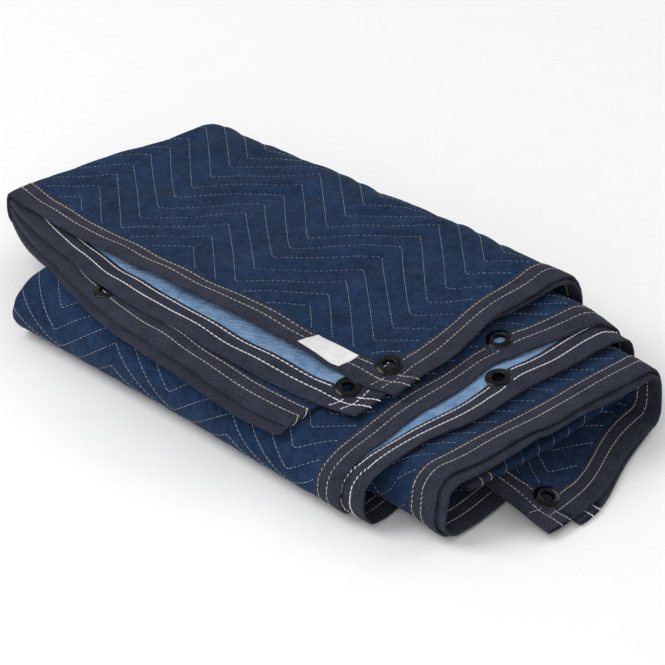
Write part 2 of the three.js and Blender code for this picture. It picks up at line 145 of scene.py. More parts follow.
# %% The roll's line
def make_roll():
    tops = [PANEL_HALF + level * STACK for level in TOP_LEVELS]
    bottoms = [PANEL_HALF + level * STACK for level in BOTTOM_LEVELS]
    runs, stations = [], [0.0]
    length = 0.0

    def add_line(start_y, end_y, z):
        nonlocal length
        size = abs(end_y - start_y)
        if z == tops[1]:
            stations.append(length + size / 2)
        way = 1 if end_y > start_y else -1
        runs.append({"start": length, "size": size, "y": start_y, "z": z, "way": way})
        length += size

    def add_turn(y, start_z, end_z, side):
        nonlocal length
        radius = abs(end_z - start_z) / 2
        size = math.pi * radius
        middle = (start_z + end_z) / 2
        runs.append({"start": length, "size": size, "y": y, "z": middle, "radius": radius, "side": side})
        stations.append(length + size / 2)
        length += size

    y = OUTER_END_Y
    for i, reach in enumerate(BACK_REACH):
        back = reach - (tops[i] - bottoms[i]) / 2
        add_line(y, back, tops[i])
        add_turn(back, tops[i], bottoms[i], 1)
        if i < len(FRONT_REACH):
            y = FRONT_REACH[i] + (tops[i + 1] - bottoms[i]) / 2
            add_line(back, y, bottoms[i])
            add_turn(y, bottoms[i], tops[i + 1], -1)
        else:
            add_line(back, INNER_END_Y, bottoms[i])
    stations.append(length)
    return runs, np.array(stations), length


RUNS, STATIONS, ROLL_LENGTH = make_roll()
RUNS_PER_TURN = 4
print("the roll is", round(ROLL_LENGTH), "mm long in", len(RUNS), "runs")


def roll_point(distance, depth):
    y = np.zeros_like(distance)
    z = np.zeros_like(distance)
    starts = np.array([run["start"] for run in RUNS])
    which = np.clip(np.searchsorted(starts, distance, side="right") - 1, 0, None)
    for i, run in enumerate(RUNS):
        here = which == i
        along = distance[here] - run["start"]
        if "radius" in run:
            angle = along / run["radius"]
            radius = run["radius"] - depth[here]
            y[here] = run["y"] + run["side"] * radius * np.sin(angle)
            z[here] = run["z"] + run["side"] * radius * np.cos(angle)
        else:
            y[here] = run["y"] + run["way"] * along
            z[here] = run["z"] - run["way"] * depth[here]
    return y, z


def end_at(column, distance):
    values = np.array([row[END_COLUMNS.index(column)] for row in ENDS.values()], float)
    i = np.clip(np.searchsorted(STATIONS, distance, side="right") - 1, 0, len(STATIONS) - 2)
    share = smooth((distance - STATIONS[i]) / (STATIONS[i + 1] - STATIONS[i]))
    return lerp(values[i], values[i + 1], share)


# %% [markdown]
# ## Settling
# A rolled cloth isn't even. Past the end of a layer there is a bare space, and the cloth above comes
# down and closes it. The front hangs, the front right corner is pressed, the top stack gapes at the
# left and the innermost loop stands open. Each is a small smooth move of the even roll.

# %% Settle the even roll
HANG = {"from": -30, "reach": 85, "share": 0.076}
PRESSED = {"from": -230, "until": 150, "back": 280, "share": 0.278}
GAPE = {"x": -370, "reach": 120, "y": 150, "drop": 30, "band": 14, "height": 80}
LOOP = {"from": -60, "reach": 210, "rise": 15, "level": 3, "band": 6}
SLOPE = {"x": 0.164, "y": 0.086, "both": 0.024}
SLOPE_MIDDLE = (-200, 90)
SLOPE_HALF = (260, 180)
SKEW = {"rate": 0.000075, "zero": -140}
CLOSING = {"gap": 4, "reach": 80}
RIDGE_CLOSINGS = {"ridge": 0.6, "second": 0.4}
SETTLED = (
    (0, 1, "front 2", "back 1", 1.0),
    (1, 1, "front 3", "back 2", 0.9),
    (5, -1, "front 2", "back 2", 1.0),
    (6, -1, "outer end", "back 1", 1.0),
)


def bare_spaces():
    spaces = []
    for level, up, front, back, share in SETTLED:
        for name, layer in LAYERS.items():
            closings = {name: 1.0} if layer["bound"] else RIDGE_CLOSINGS
            base = PANEL_HALF + level * STACK + (up * layer["depth"] - 0.5) * LAYER_PITCH
            for column, closing in closings.items():
                ends = (end_value(front, column), end_value(back, column))
                spaces.append((base, *ends, closing * share))
    return spaces


SPACES = bare_spaces()
print("bare spaces that close:", len(SPACES))


def settled(x, y, z):
    share = smooth((y - FRONT_REACH[0]) / (BACK_REACH[0] - FRONT_REACH[0]))
    height = z.copy()
    for base, front, back, closing in SPACES:
        closed = smooth((x - lerp(front, back, share) - CLOSING["gap"]) / CLOSING["reach"])
        height -= LAYER_PITCH * closing * closed * np.clip((z - base) / LAYER_PITCH, 0, 1)
    return height


def shaped(x, y, z):
    hang = HANG["share"] * smooth((HANG["from"] - y) / HANG["reach"])
    pressed = PRESSED["share"] * smooth(1 - x / PRESSED["from"]) * smooth(1 - x / PRESSED["until"])
    pressed = pressed * (1 - y / PRESSED["back"])
    middle = PANEL_HALF + LOOP["level"] * STACK - LAYER_PITCH / 2
    rise = LOOP["rise"] * smooth((x - LOOP["from"]) / LOOP["reach"])
    rise = rise * np.clip((z - middle) / LOOP["band"], 0, 1)
    gape = GAPE["drop"] * smooth((GAPE["x"] - x) / GAPE["reach"]) * smooth(1 - y / GAPE["y"])
    gape = gape * np.clip((TOP_LEVELS[0] * STACK - z) / GAPE["band"], 0, 1)
    gape = gape * np.clip(z / GAPE["height"], 0, 1)
    height = (settled(x, y, z) + rise - gape) * (1 - hang) * (1 - pressed)
    right, back = ((c - m) / h for c, m, h in zip((x, y), SLOPE_MIDDLE, SLOPE_HALF))
    height = height * (1 + SLOPE["x"] * right + SLOPE["y"] * back + SLOPE["both"] * right * back)
    wide = 1 + SKEW["rate"] * (x - SKEW["zero"])
    return np.stack([x, y * wide, height], axis=-1)

# %% [markdown]
# ## Points of the cloth
# The strip's columns are named by layer and by the distance from its right end, or by fold and the
# share of its half turn. A row is a distance from the outer end. Towards both ends the layers fan
# out, so each column's row is moved along the roll by how far its layer reaches.

# %% Find a point of the cloth
RIPPLES = ((1.6, 210.0, 0.3), (0.9, 97.0, 1.9))
SAGS = ((1.1, 173.0, 121.0, 0.4), (0.7, 88.0, -143.0, 2.1), (0.5, -61.0, 74.0, 4.0))
CURL = {"rise": 6.5, "depth": 46.0, "right": (38.0, 90.0), "left": (430.0, 300.0)}
FLOOR_GAP = 0.05


def on_layer(layer, inset):
    return {"layer": layer, "inset": float(inset)}


def on_fold(fold, share):
    return {"fold": fold, "share": float(share)}


def reaches(column):
    if column.get("fold") == "ridge":
        ends = LAYERS["fourth"], LAYERS["third"]
        return tuple(lerp(ends[0][key], ends[1][key], column["share"]) for key in ("outer", "inner"))
    if "fold" in column:
        return 0.0, 0.0
    layer = LAYERS[column["layer"]]
    left = column["inset"] / STRIP_LENGTH
    bow = 4 * layer["bow"] * left * (1 - left)
    return layer["outer"] * (1 - left * left) + bow, layer["inner"] * (1 - left * left)


def row_distance(column, along):
    outer, inner = reaches(column)
    fan_out = 1 - smooth((along - FAN["from"]) / (FAN["outer"] - FAN["from"]))
    fan_in = 1 - smooth((ROLL_LENGTH - along - FAN["from"]) / (FAN["inner"] - FAN["from"]))
    return along - outer * fan_out + inner * fan_in


def ripple(distance, phase):
    return sum(
        size * np.sin(2 * math.pi * distance / length + start + phase)
        for size, length, start in RIPPLES
    )


def across(column, distance, lift):
    left = end_at("left", distance) + LEFT_RADIUS
    if "fold" in column:
        fold = FOLDS[column["fold"]]
        middle = end_at("ridge", distance) - RIDGE_RADIUS if column["fold"] == "ridge" else left
        radius = fold["radius"] * LAYER_PITCH + fold["navy"] * lift
        angle = math.pi * column["share"]
        x = middle + fold["side"] * radius * math.sin(angle)
        return x, fold["middle"] * LAYER_PITCH + fold["start"] * radius * math.cos(angle)
    layer = LAYERS[column["layer"]]
    inset = column["inset"]
    if layer["bound"]:
        right = end_at(column["layer"], distance)
        right = right + ripple(distance, layer["depth"]) * (1 - inset / STRIP_LENGTH)
    else:
        right = end_at("ridge", distance) - RIDGE_RADIUS
    near = min(inset, EVEN_INSET)
    share = (inset - near) / (STRIP_LENGTH - EVEN_INSET)
    x = right - near + share * (left - right + EVEN_INSET)
    return x, layer["depth"] * LAYER_PITCH + layer["navy"] * lift


def curl(column, along):
    """How far the outer end of the top layer has lifted off the layer under it."""
    if column.get("layer") != "top":
        return 0.0
    (start, full), (end, past) = CURL["right"], CURL["left"]
    inset = column["inset"]
    share = smooth((inset - start) / (full - start)) * smooth((inset - end) / (past - end))
    return CURL["rise"] * share * smooth(1 - along / CURL["depth"])


def resting_points(column, along, lift):
    """Points in millimetres for one column and many rows, lifted towards the navy face."""
    along = np.asarray(along, float)
    distance = row_distance(column, along)
    x, depth = across(column, distance, np.asarray(lift, float) + np.zeros_like(along))
    y, z = roll_point(distance, depth + np.zeros_like(along))
    points = shaped(x, y, z)
    sag = sum(
        size * np.sin(2 * math.pi * (points[..., 0] / wide + points[..., 1] / deep) + start)
        for size, wide, deep, start in SAGS
    )
    height = points[..., 2]
    height = height + sag * height / (TOP_LEVELS[0] * STACK) + curl(column, along)
    points[..., 2] = np.maximum(height, FLOOR_GAP)
    return points


def in_metres(points):
    return (points - MIDDLE) * MM


# %% Tip the cloth at the eyelets
TOP_TWO = RUNS[RUNS_PER_TURN]["start"]
EYELETS = {
    "eyelet_top_corner": {"layer": "top", "inset": 34.0, "along": 34.0, "tip": 13.0},
    "eyelet_second_corner": {"layer": "second", "inset": 34.0, "along": 34.0, "tip": 12.0},
    "eyelet_outer_end": {"layer": "third", "inset": 266.0, "along": 20.0, "tip": 0.0},
    "eyelet_top_side": {"layer": "top", "inset": 30.0, "along": TOP_TWO + 189.0, "tip": 7.0},
    "eyelet_second_side": {"layer": "second", "inset": 30.0, "along": TOP_TWO + 149.0, "tip": 7.0},
    "eyelet_inner_second": {"layer": "second", "inset": 34.0, "along": ROLL_LENGTH - 34.0, "tip": 10.0},
    "eyelet_inner_top": {"layer": "top", "inset": 34.0, "along": ROLL_LENGTH - 34.0, "tip": 0.0},
}
TIP_WAY = np.array((0.713, -0.701))
TIP_REACH = (13.0, 32.0)


def tips():
    """Middle of each tipped eyelet and the slope of the cloth around it."""
    found = []
    for row in EYELETS.values():
        if row["tip"]:
            middle = resting_points(on_layer(row["layer"], row["inset"]), [row["along"]], 0.0)[0]
            found.append((middle, math.tan(math.radians(row["tip"]))))
    return found


TIPS = tips()


def cloth_points(column, along, lift):
    """Resting points, with the cloth around an eyelet tipped to the front right by its weight."""
    points = resting_points(column, along, lift)
    height = points[..., 2].copy()
    for middle, slope in TIPS:
        beside = points[..., :2] - middle[:2]
        away = np.hypot(beside[..., 0], beside[..., 1])
        fade = 1 - smooth((away - TIP_REACH[0]) / (TIP_REACH[1] - TIP_REACH[0]))
        points[..., 2] -= slope * (beside @ TIP_WAY) * fade * np.clip(height / middle[2], 0, 1)
    points[..., 2] = np.maximum(points[..., 2], FLOOR_GAP)
    return points


print("eyelets with the cloth tipped around them:", len(TIPS))
corner = in_metres(cloth_points(on_layer("top", 0), [0.0], 0.0))[0]
print("corner of the top layer at", corner.round(4))

# %% [markdown]
# ## Finishes
# The cloth is a matt weave with a soft sheen. Its quilting puckers it: short creases run out from
# every seam. Its colour is darkened towards every seam as painted shade, and its crumples are painted
# lighter and darker as well as bumped. The seam's zigzag is worked out again in the shader from the
# cloth's own UV map, which is in metres, so the creases stay sharp and follow the seams on every layer
# and from every side.

# %% Quilting rule
QUILT = {"pitch": 24.8, "half_period": 78.8, "swing": 70.0, "from_u": 68.0, "from_v": -0.4}


def quilt_line(u):
    half = QUILT["half_period"]
    phase = np.mod(u - QUILT["from_u"], 2 * half)
    return QUILT["from_v"] + QUILT["swing"] * (1 - np.abs(phase / half - 1))


def seam_share(u, v):
    """0 on a seam and 1 midway between two, for distances across the cloth and along the roll."""
    part = np.mod(v - quilt_line(u), QUILT["pitch"]) / QUILT["pitch"]
    return 1 - np.abs(2 * part - 1)


print("seams", QUILT["pitch"], "mm apart, zigzag of", QUILT["swing"], "mm")


# %% Helpers for node trees
class Finish:
    """A material whose nodes are added one after the other."""

    def __init__(self, name, roughness, sheen=0.0, specular=0.5):
        self.material = bpy.data.materials.new(name)
        self.material.use_nodes = True
        self.nodes = self.material.node_tree.nodes
        self.links = self.material.node_tree.links
        self.shader = self.nodes["Principled BSDF"]
        self.shader.inputs["Roughness"].default_value = roughness
        self.shader.inputs["Sheen Weight"].default_value = sheen
        self.shader.inputs["Specular IOR Level"].default_value = specular

    def put(self, value, socket):
        if isinstance(value, bpy.types.NodeSocket):
            self.links.new(value, socket)
        else:
            socket.default_value = value

    def math(self, operation, a, b=0.0):
        node = self.nodes.new("ShaderNodeMath")
        node.operation = operation
        self.put(a, node.inputs[0])
        self.put(b, node.inputs[1])
        return node.outputs[0]

    def total(self, *terms):
        """Sum of values, each with its weight."""
        parts = [value if weight == 1 else self.math("MULTIPLY", value, weight) for value, weight in terms]
        result = parts[0]
        for part in parts[1:]:
            result = self.math("ADD", result, part)
        return result

    def stretched(self, u, v, scales, detail):
        """Noise that is drawn out along one way of the cloth."""
        scaled = [self.math("MULTIPLY", way, scale) for way, scale in zip((u, v), scales)]
        return self.noise(self.vector(*scaled), 1.0, detail)

    def uv(self):
        coordinates = self.nodes.new("ShaderNodeTexCoord")
        parts = self.nodes.new("ShaderNodeSeparateXYZ")
        self.links.new(coordinates.outputs["UV"], parts.inputs[0])
        return parts.outputs[0], parts.outputs[1]

    def place(self):
        return self.nodes.new("ShaderNodeTexCoord").outputs["Object"]

    def vector(self, x, y, z=0.0):
        node = self.nodes.new("ShaderNodeCombineXYZ")
        for value, socket in zip((x, y, z), node.inputs):
            self.put(value, socket)
        return node.outputs[0]

    def noise(self, vector, scale, detail=2.0):
        node = self.nodes.new("ShaderNodeTexNoise")
        self.put(vector, node.inputs["Vector"])
        node.inputs["Scale"].default_value = scale
        node.inputs["Detail"].default_value = detail
        return node.outputs["Fac"]

    def spread(self, value, low, high, to_low=0.0, to_high=1.0):
        node = self.nodes.new("ShaderNodeMapRange")
        for number, socket in zip((value, low, high, to_low, to_high), node.inputs):
            self.put(number, socket)
        return node.outputs[0]

    def mix(self, share, a, b, blend="MIX"):
        node = self.nodes.new("ShaderNodeMix")
        node.data_type = "RGBA"
        node.blend_type = blend
        colours = [s for s in node.inputs if s.type == "RGBA"]
        self.put(share, node.inputs[0])
        self.put(a, colours[0])
        self.put(b, colours[1])
        return next(s for s in node.outputs if s.type == "RGBA")

    def bump(self, height, distance, strength=1.0):
        node = self.nodes.new("ShaderNodeBump")
        node.inputs["Strength"].default_value = strength
        node.inputs["Distance"].default_value = distance
        self.links.new(height, node.inputs["Height"])
        self.links.new(node.outputs["Normal"], self.shader.inputs["Normal"])

    def colour(self, value):
        self.put(value, self.shader.inputs["Base Color"])

    def rough(self, value):
        self.put(value, self.shader.inputs["Roughness"])


def threads(finish, u, v, thread):
    """Plain weave: 0 between threads and 1 on them, a thread's width apart in metres."""
    turn = 2 * math.pi / (2 * thread)
    over = finish.math("SINE", finish.math("MULTIPLY", u, turn))
    under = finish.math("SINE", finish.math("MULTIPLY", v, turn))
    return finish.spread(finish.math("MULTIPLY", over, under), -1.0, 1.0)


# %% Quilted cloth
CLOTH_THREAD = 0.0009


def quilted_cloth(name, dark, light, wear_and_seam_shade):
    finish = Finish(name, 0.88, sheen=0.03, specular=0.08)
    u, v = finish.uv()
    half = QUILT["half_period"] * MM
    shifted = finish.math("SUBTRACT", u, QUILT["from_u"] * MM)
    zigzag = finish.math("PINGPONG", shifted, half)
    zigzag = finish.math("MULTIPLY", zigzag, QUILT["swing"] / QUILT["half_period"])
    across_seam = finish.math("SUBTRACT", v, zigzag)
    across_seam = finish.math("SUBTRACT", across_seam, QUILT["from_v"] * MM)
    from_seam = finish.math("PINGPONG", across_seam, QUILT["pitch"] / 2 * MM)
    share = finish.math("DIVIDE", from_seam, QUILT["pitch"] / 2 * MM)

    creases = finish.stretched(u, across_seam, (210.0, 45.0), 3.0)
    near = finish.spread(share, 0.05, 0.75, 1.0, 0.0)
    creases = finish.math("MULTIPLY", creases, near)
    weave = threads(finish, u, v, CLOTH_THREAD)
    cloudy = finish.noise(finish.place(), 26.0, 4.0)
    mottled = finish.noise(finish.vector(u, v), 190.0, 3.0)
    specks = finish.noise(finish.vector(u, v), 900.0, 2.0)

    # crumples: this noise bumps the cloth and also lightens and darkens its colour, as painted shade of
    # the crumples
    crumple_bump_and_painted_shade = finish.noise(finish.place(), 85.0, 5.0)
    tone = finish.total((cloudy, 0.25), (crumple_bump_and_painted_shade, 0.3), (mottled, 0.3), (specks, 0.25), (weave, 0.08))
    base = finish.mix(finish.spread(tone, 0.43, 0.75), dark, light)
    # painted shade: the colour darkens towards each seam, where the cloth is drawn in
    seam_shade_share = finish.spread(share, 0.0, 0.16, 0.35, 0.0)
    base = finish.mix(seam_shade_share, base, wear_and_seam_shade)
    finish.colour(base)
    finish.rough(finish.spread(cloudy, 0.3, 0.7, 0.82, 0.94))
    drawn_in = finish.spread(share, 0.0, 0.3)
    height = finish.total((creases, 1), (weave, 0.12), (drawn_in, 0.5), (mottled, 0.35), (crumple_bump_and_painted_shade, 2.6))
    finish.bump(height, 0.0016)
    return finish.material


# the third colour of each cloth is the painted shade along its seams
NAVY = quilted_cloth(
    "navy_cloth", (0.0025, 0.0092, 0.027, 1), (0.0165, 0.041, 0.103, 1), (0.002, 0.007, 0.021, 1)
)
LIGHT_BLUE = quilted_cloth(
    "light_blue_cloth", (0.078, 0.170, 0.325, 1), (0.235, 0.355, 0.525, 1), (0.07, 0.15, 0.29, 1)
)
print("cloth finishes:", NAVY.name, LIGHT_BLUE.name)


# %% Tape, thread, enamel and label
TWILL_PITCH = 0.0026
TAPE_DARK = (0.0045, 0.0055, 0.013, 1)
TAPE_LIGHT = (0.039, 0.043, 0.068, 1)
TAPE_THREAD = 0.0007
ENAMEL_DARK = (0.0015, 0.0015, 0.0018, 1)
ENAMEL_LIGHT = (0.006, 0.006, 0.0066, 1)
LABEL_DARK = (0.80, 0.80, 0.79, 1)
LABEL_LIGHT = (0.90, 0.90, 0.89, 1)
LABEL_THREAD = 0.0004


def tape_cloth():
    finish = Finish("charcoal_tape", 0.9, sheen=0.04, specular=0.12)
    u, v = finish.uv()
    weave = threads(finish, u, v, TAPE_THREAD)
    slant = finish.math("ADD", u, v)
    twill = finish.math("SINE", finish.math("MULTIPLY", slant, 2 * math.pi / TWILL_PITCH))
    specks = finish.noise(finish.vector(u, v), 560.0, 2.0)
    cloudy = finish.noise(finish.place(), 60.0, 4.0)
    creased = finish.stretched(u, v, (260.0, 60.0), 3.0)
    tone = finish.total((cloudy, 0.35), (specks, 0.65), (twill, 0.1))
    finish.colour(finish.mix(finish.spread(tone, 0.3, 0.7), TAPE_DARK, TAPE_LIGHT))
    finish.rough(finish.spread(cloudy, 0.3, 0.7, 0.84, 0.96))
    finish.bump(finish.total((weave, 0.18), (twill, 0.2), (creased, 1)), 0.0006)
    return finish.material


def thread_finish(name, dark, light):
    finish = Finish(name, 0.7, sheen=0.15)
    twist = finish.noise(finish.place(), 1400.0, 1.0)
    cloudy = finish.noise(finish.place(), 120.0, 2.0)
    finish.colour(finish.mix(finish.spread(cloudy, 0.3, 0.7), dark, light))
    finish.bump(twist, 0.0003)
    return finish.material


def enamel():
    finish = Finish("black_enamel", 0.16, specular=0.2)
    wear_and_seam_shade = finish.noise(finish.place(), 220.0, 4.0)
    finish.colour(finish.mix(finish.spread(wear_and_seam_shade, 0.4, 0.75), ENAMEL_DARK, ENAMEL_LIGHT))
    finish.rough(finish.spread(wear_and_seam_shade, 0.3, 0.75, 0.1, 0.26))
    finish.bump(wear_and_seam_shade, 0.0001, 0.4)
    return finish.material


def label_cloth():
    finish = Finish("white_label", 0.75, sheen=0.1)
    u, v = finish.uv()
    weave = threads(finish, u, v, LABEL_THREAD)
    cloudy = finish.noise(finish.place(), 90.0, 3.0)
    finish.colour(finish.mix(finish.spread(cloudy, 0.35, 0.7), LABEL_DARK, LABEL_LIGHT))
    finish.bump(finish.total((weave, 1), (cloudy, 2.0)), 0.0003)
    return finish.material


TAPE = tape_cloth()
WHITE_THREAD = thread_finish("white_thread", (0.62, 0.63, 0.66, 1), (0.86, 0.87, 0.88, 1))
QUILT_WHITE = thread_finish("quilting_thread", (0.28, 0.33, 0.42, 1), (0.47, 0.53, 0.63, 1))
GREY_THREAD = thread_finish("grey_thread", (0.30, 0.29, 0.28, 1), (0.52, 0.50, 0.47, 1))
ENAMEL = enamel()
LABEL_CLOTH = label_cloth()
print("finishes made:", len(bpy.data.materials))

# %% [markdown]
# ## The quilted panel
# The panel is one closed cloth with a navy and a light blue face. Between seams it is full, and at a
# seam it is drawn in. It is laid out as a grid of cells, and only a cell that can be seen from
# somewhere outside is divided finely, so the hidden turns stay light. A plain cell beside a fine one
# takes the fine one's edge points, so the cloth has no cracks.

# %% Lay out the panel's columns and rows
EDGE_INSET = 20.0
STEP = (31.6, 34.5)
CELL = 24.0
TURN_CELL = {"least": 10.0, "share": 0.45}
FINE = 6
FOLD_CELLS = 4
LAYER_CELLS = 19


def split(start, end, size):
    count = max(1, round(abs(end - start) / size))
    return list(np.linspace(start, end, count + 1))


def panel_cells():
    """Cells from the top layer's end to the second layer's: kind, from, to, u from, u to."""
    bound = [EDGE_INSET, STEP[0]] + split(STEP[1], STRIP_LENGTH, CELL)
    inner = list(np.linspace(0, STRIP_LENGTH, LAYER_CELLS + 1))
    turn = list(np.linspace(0, 1, FOLD_CELLS + 1))
    path = (
        ("top", bound), ("left outer", turn), ("fourth", inner[::-1]), ("ridge", turn),
        ("third", inner), ("left inner", turn), ("second", bound[::-1]),
    )
    cells = []
    u = EDGE_INSET
    for kind, marks in path:
        scale = math.pi * FOLDS[kind]["radius"] * LAYER_PITCH if kind in FOLDS else 1.0
        for start, end in zip(marks, marks[1:]):
            width = abs(end - start) * scale
            cells.append((kind, start, end, u, u + width))
            u += width
    return cells


def panel_rows():
    marks = [EDGE_INSET, STEP[0]]
    inner_edge = ROLL_LENGTH - STEP[1]
    for run in RUNS:
        start = max(run["start"], STEP[1])
        end = min(run["start"] + run["size"], inner_edge)
        size = max(TURN_CELL["least"], TURN_CELL["share"] * run["radius"]) if "radius" in run else CELL
        marks += split(start, end, size)[:-1]
    return marks + [inner_edge] + [ROLL_LENGTH - mark for mark in reversed(marks[:2])]


def subdivided(marks):
    fine = [np.linspace(a, b, FINE + 1)[:-1] for a, b in zip(marks, marks[1:])]
    return np.concatenate(fine + [[marks[-1]]])


def panel_columns(cells):
    columns, us = [], []
    for i, (kind, start, end, u_start, u_end) in enumerate(cells):
        last = i == len(cells) - 1
        for part in range(FINE + last):
            value = lerp(start, end, part / FINE)
            columns.append(on_fold(kind, value) if kind in FOLDS else on_layer(kind, value))
            us.append(lerp(u_start, u_end, part / FINE))
    return columns, np.array(us)


def cloth_measures():
    """Distance across the cloth from the top layer's right end and along the roll, at every point."""
    middles = np.stack([resting_points(column, ROWS, 0.0) for column in COLUMNS], axis=1)
    steps = np.diff(middles, axis=1)
    widths = np.hypot(steps[..., 0], steps[..., 2])
    start = np.full((len(ROWS), 1), EDGE_INSET)
    across_cloth = np.cumsum(np.concatenate([start, widths], axis=1), axis=1)
    along_roll = np.stack([row_distance(column, ROWS) for column in COLUMNS], axis=1)
    return across_cloth, along_roll


CELLS = panel_cells()
ROW_MARKS = panel_rows()
COLUMNS, COLUMN_U = panel_columns(CELLS)
ROWS = subdivided(ROW_MARKS)
GRID_U, GRID_V = cloth_measures()
print(len(CELLS), "cells across and", len(ROW_MARKS) - 1, "along")
print("cloth", (GRID_U[:, -1] + EDGE_INSET).mean().round(), "mm across")

# %% Put the panel's points on both faces
PUFF = {"edge": 0.75, "seam": 1.05, "full": 1.85, "proud": 2.9, "roundness": 0.7, "rim": 16.0}
OUTSIDE = {"turn_share": 0.55, "fade": 40.0}


def free_outside(along):
    """1 over the outermost turn, where nothing lies on the navy face, and 0 inside the roll."""
    first_back = RUNS[1]
    end = first_back["start"] + OUTSIDE["turn_share"] * first_back["size"]
    return 1 - smooth((along - end) / OUTSIDE["fade"])


def panel_lift(column, share, along, face):
    """Half the thickness of the cloth on one face: thin under the tape, drawn in at the seams."""
    rim = min(column.get("inset", STRIP_LENGTH), STRIP_LENGTH) if bound_layer(column) else STRIP_LENGTH
    from_rim = np.minimum(np.minimum(along, ROLL_LENGTH - along), rim)
    full = smooth((from_rim - STEP[0]) / (STEP[1] - STEP[0]))
    puff = np.sin(0.5 * math.pi * share) ** PUFF["roundness"]
    puff = puff * smooth((from_rim - STEP[0]) / PUFF["rim"])
    high = PUFF["full"]
    if face == 0 and column.get("layer") == "top":
        high = lerp(PUFF["full"], PUFF["proud"], free_outside(along))
    return lerp(PUFF["edge"], lerp(PUFF["seam"], high, puff), full)


def bound_layer(column):
    return column.get("layer") in ("top", "second")


def panel_points():
    faces = []
    shares = seam_share(GRID_U, GRID_V).T
    for face, side in enumerate((1, -1)):
        columns = [
            cloth_points(column, ROWS, side * panel_lift(column, share, ROWS, face))
            for column, share in zip(COLUMNS, shares)
        ]
        faces.append(np.stack(columns, axis=1))
    return np.stack(faces)


PANEL_POINTS = panel_points()
print("points on the fine grid:", PANEL_POINTS.shape[1] * PANEL_POINTS.shape[2])

# %% Find the cells that can be seen
SIGHT_AZIMUTHS = range(0, 360, 45)
SIGHT_ELEVATIONS = (12, 38)
SIGHT_LEAST = 0.08
CELL_SIGHT_START = 1.2


def sight_lines():
    lines = [Vector((0, 0, 1))]
    for elevation in SIGHT_ELEVATIONS:
        for azimuth in SIGHT_AZIMUTHS:
            a, e = math.radians(azimuth), math.radians(elevation)
            lines.append(Vector((math.sin(a) * math.cos(e), -math.cos(a) * math.cos(e), math.sin(e))))
    return lines


SIGHT_LINES = sight_lines()


def is_seen(tree, point, out, start):
    origin = point + out * start
    for line in SIGHT_LINES:
        if line.dot(out) > SIGHT_LEAST and tree.ray_cast(origin, line)[0] is None:
            return True
    return False


def plain_tree(points):
    """A tree for rays, from the corners of the plain cells on both faces."""
    corners = points[:, ::FINE, ::FINE]
    faces_count, rows, columns, _ = corners.shape
    ids = np.arange(faces_count * rows * columns).reshape(faces_count, rows, columns)
    quads = np.stack([ids[:, :-1, :-1], ids[:, 1:, :-1], ids[:, 1:, 1:], ids[:, :-1, 1:]], axis=-1)
    return BVHTree.FromPolygons(corners.reshape(-1, 3).tolist(), quads.reshape(-1, 4).tolist())


def seen_cells():
    tree = plain_tree(PANEL_POINTS)
    rows, columns = len(ROW_MARKS) - 1, len(CELLS)
    seen = np.zeros((2, rows, columns), bool)
    middle = FINE // 2
    for i in range(rows):
        for j in range(columns):
            both = PANEL_POINTS[:, i * FINE + middle, j * FINE + middle]
            out = Vector(both[0] - both[1]).normalized()
            seen[0, i, j] = is_seen(tree, Vector(both[0]), out, CELL_SIGHT_START)
            seen[1, i, j] = is_seen(tree, Vector(both[1]), -out, CELL_SIGHT_START)
    return seen


def grown(flags):
    wide = flags.copy()
    wide[:, 1:] |= flags[:, :-1]
    wide[:, :-1] |= flags[:, 1:]
    wide[:, :, 1:] |= flags[:, :, :-1]
    wide[:, :, :-1] |= flags[:, :, 1:]
    return wide


SEEN = grown(seen_cells())
print("cells seen:", int(SEEN.sum()), "of", SEEN.size)

# %% [markdown]
# ## Eyelets' places
# Seven eyelets are pressed through the cloth. Their places are needed before the cloth's mesh, because
# the cloth has a hole at each one.

# %% Find where the eyelets sit
EYELET_RIM = 12.6
HOLE_RADIUS = 8.6


def eyelet_place(layer, inset, along):
    left = cloth_points(on_layer(layer, inset + EYELET_RIM), [along], 0.0)[0]
    right = cloth_points(on_layer(layer, inset - EYELET_RIM), [along], 0.0)[0]
    back, onward = cloth_points(on_layer(layer, inset), [along - EYELET_RIM, along + EYELET_RIM], 0.0)
    across_way = Vector(left - right).normalized()
    out = across_way.cross(Vector(onward - back)).normalized()
    middle = Vector((left + right + back + onward) / 4)
    return middle, across_way, out * -LAYERS[layer]["navy"]


PLACES = {node: eyelet_place(row["layer"], row["inset"], row["along"]) for node, row in EYELETS.items()}
for node, (middle, _, _) in PLACES.items():
    print(node, "at", [round(c) for c in in_metres(np.array(middle)) / MM])


def near_eyelet(layer, points, radius=HOLE_RADIUS):
    """Which of a layer's points lie within a radius of one of its eyelets."""
    inside = np.zeros(points.shape[:-1], bool)
    for node, row in EYELETS.items():
        if row["layer"] == layer:
            inside |= np.linalg.norm(points - np.array(PLACES[node][0]), axis=-1) < radius
    return inside


# %% Make the panel's mesh
def new_piece(name, points, faces, materials, face_materials=None, uvs=None, smooth_faces=True):
    """An object from points in millimetres, with its place in its mesh and its faces pointing out."""
    mesh = bpy.data.meshes.new(name)
    used = sorted({index for face in faces for index in face})
    renumber = {old: new for new, old in enumerate(used)}
    points = np.asarray(points)[used]
    mesh.from_pydata(in_metres(points).tolist(), [], [[renumber[i] for i in face] for face in faces])
    for material in materials:
        mesh.materials.append(material)
    if face_materials is not None:
        mesh.polygons.foreach_set("material_index", face_materials)
    if uvs is not None:
        layer = mesh.uv_layers.new(name="cloth")
        corners = np.zeros(len(mesh.loops), int)
        mesh.loops.foreach_get("vertex_index", corners)
        layer.data.foreach_set("uv", (np.asarray(uvs)[used][corners] * MM).ravel())
    turned = bmesh.new()
    turned.from_mesh(mesh)
    bmesh.ops.recalc_face_normals(turned, faces=turned.faces)
    turned.to_mesh(mesh)
    turned.free()
    mesh.polygons.foreach_set("use_smooth", [smooth_faces] * len(mesh.polygons))
    piece = bpy.data.objects.new(name, mesh)
    bpy.context.scene.collection.objects.link(piece)
    return piece


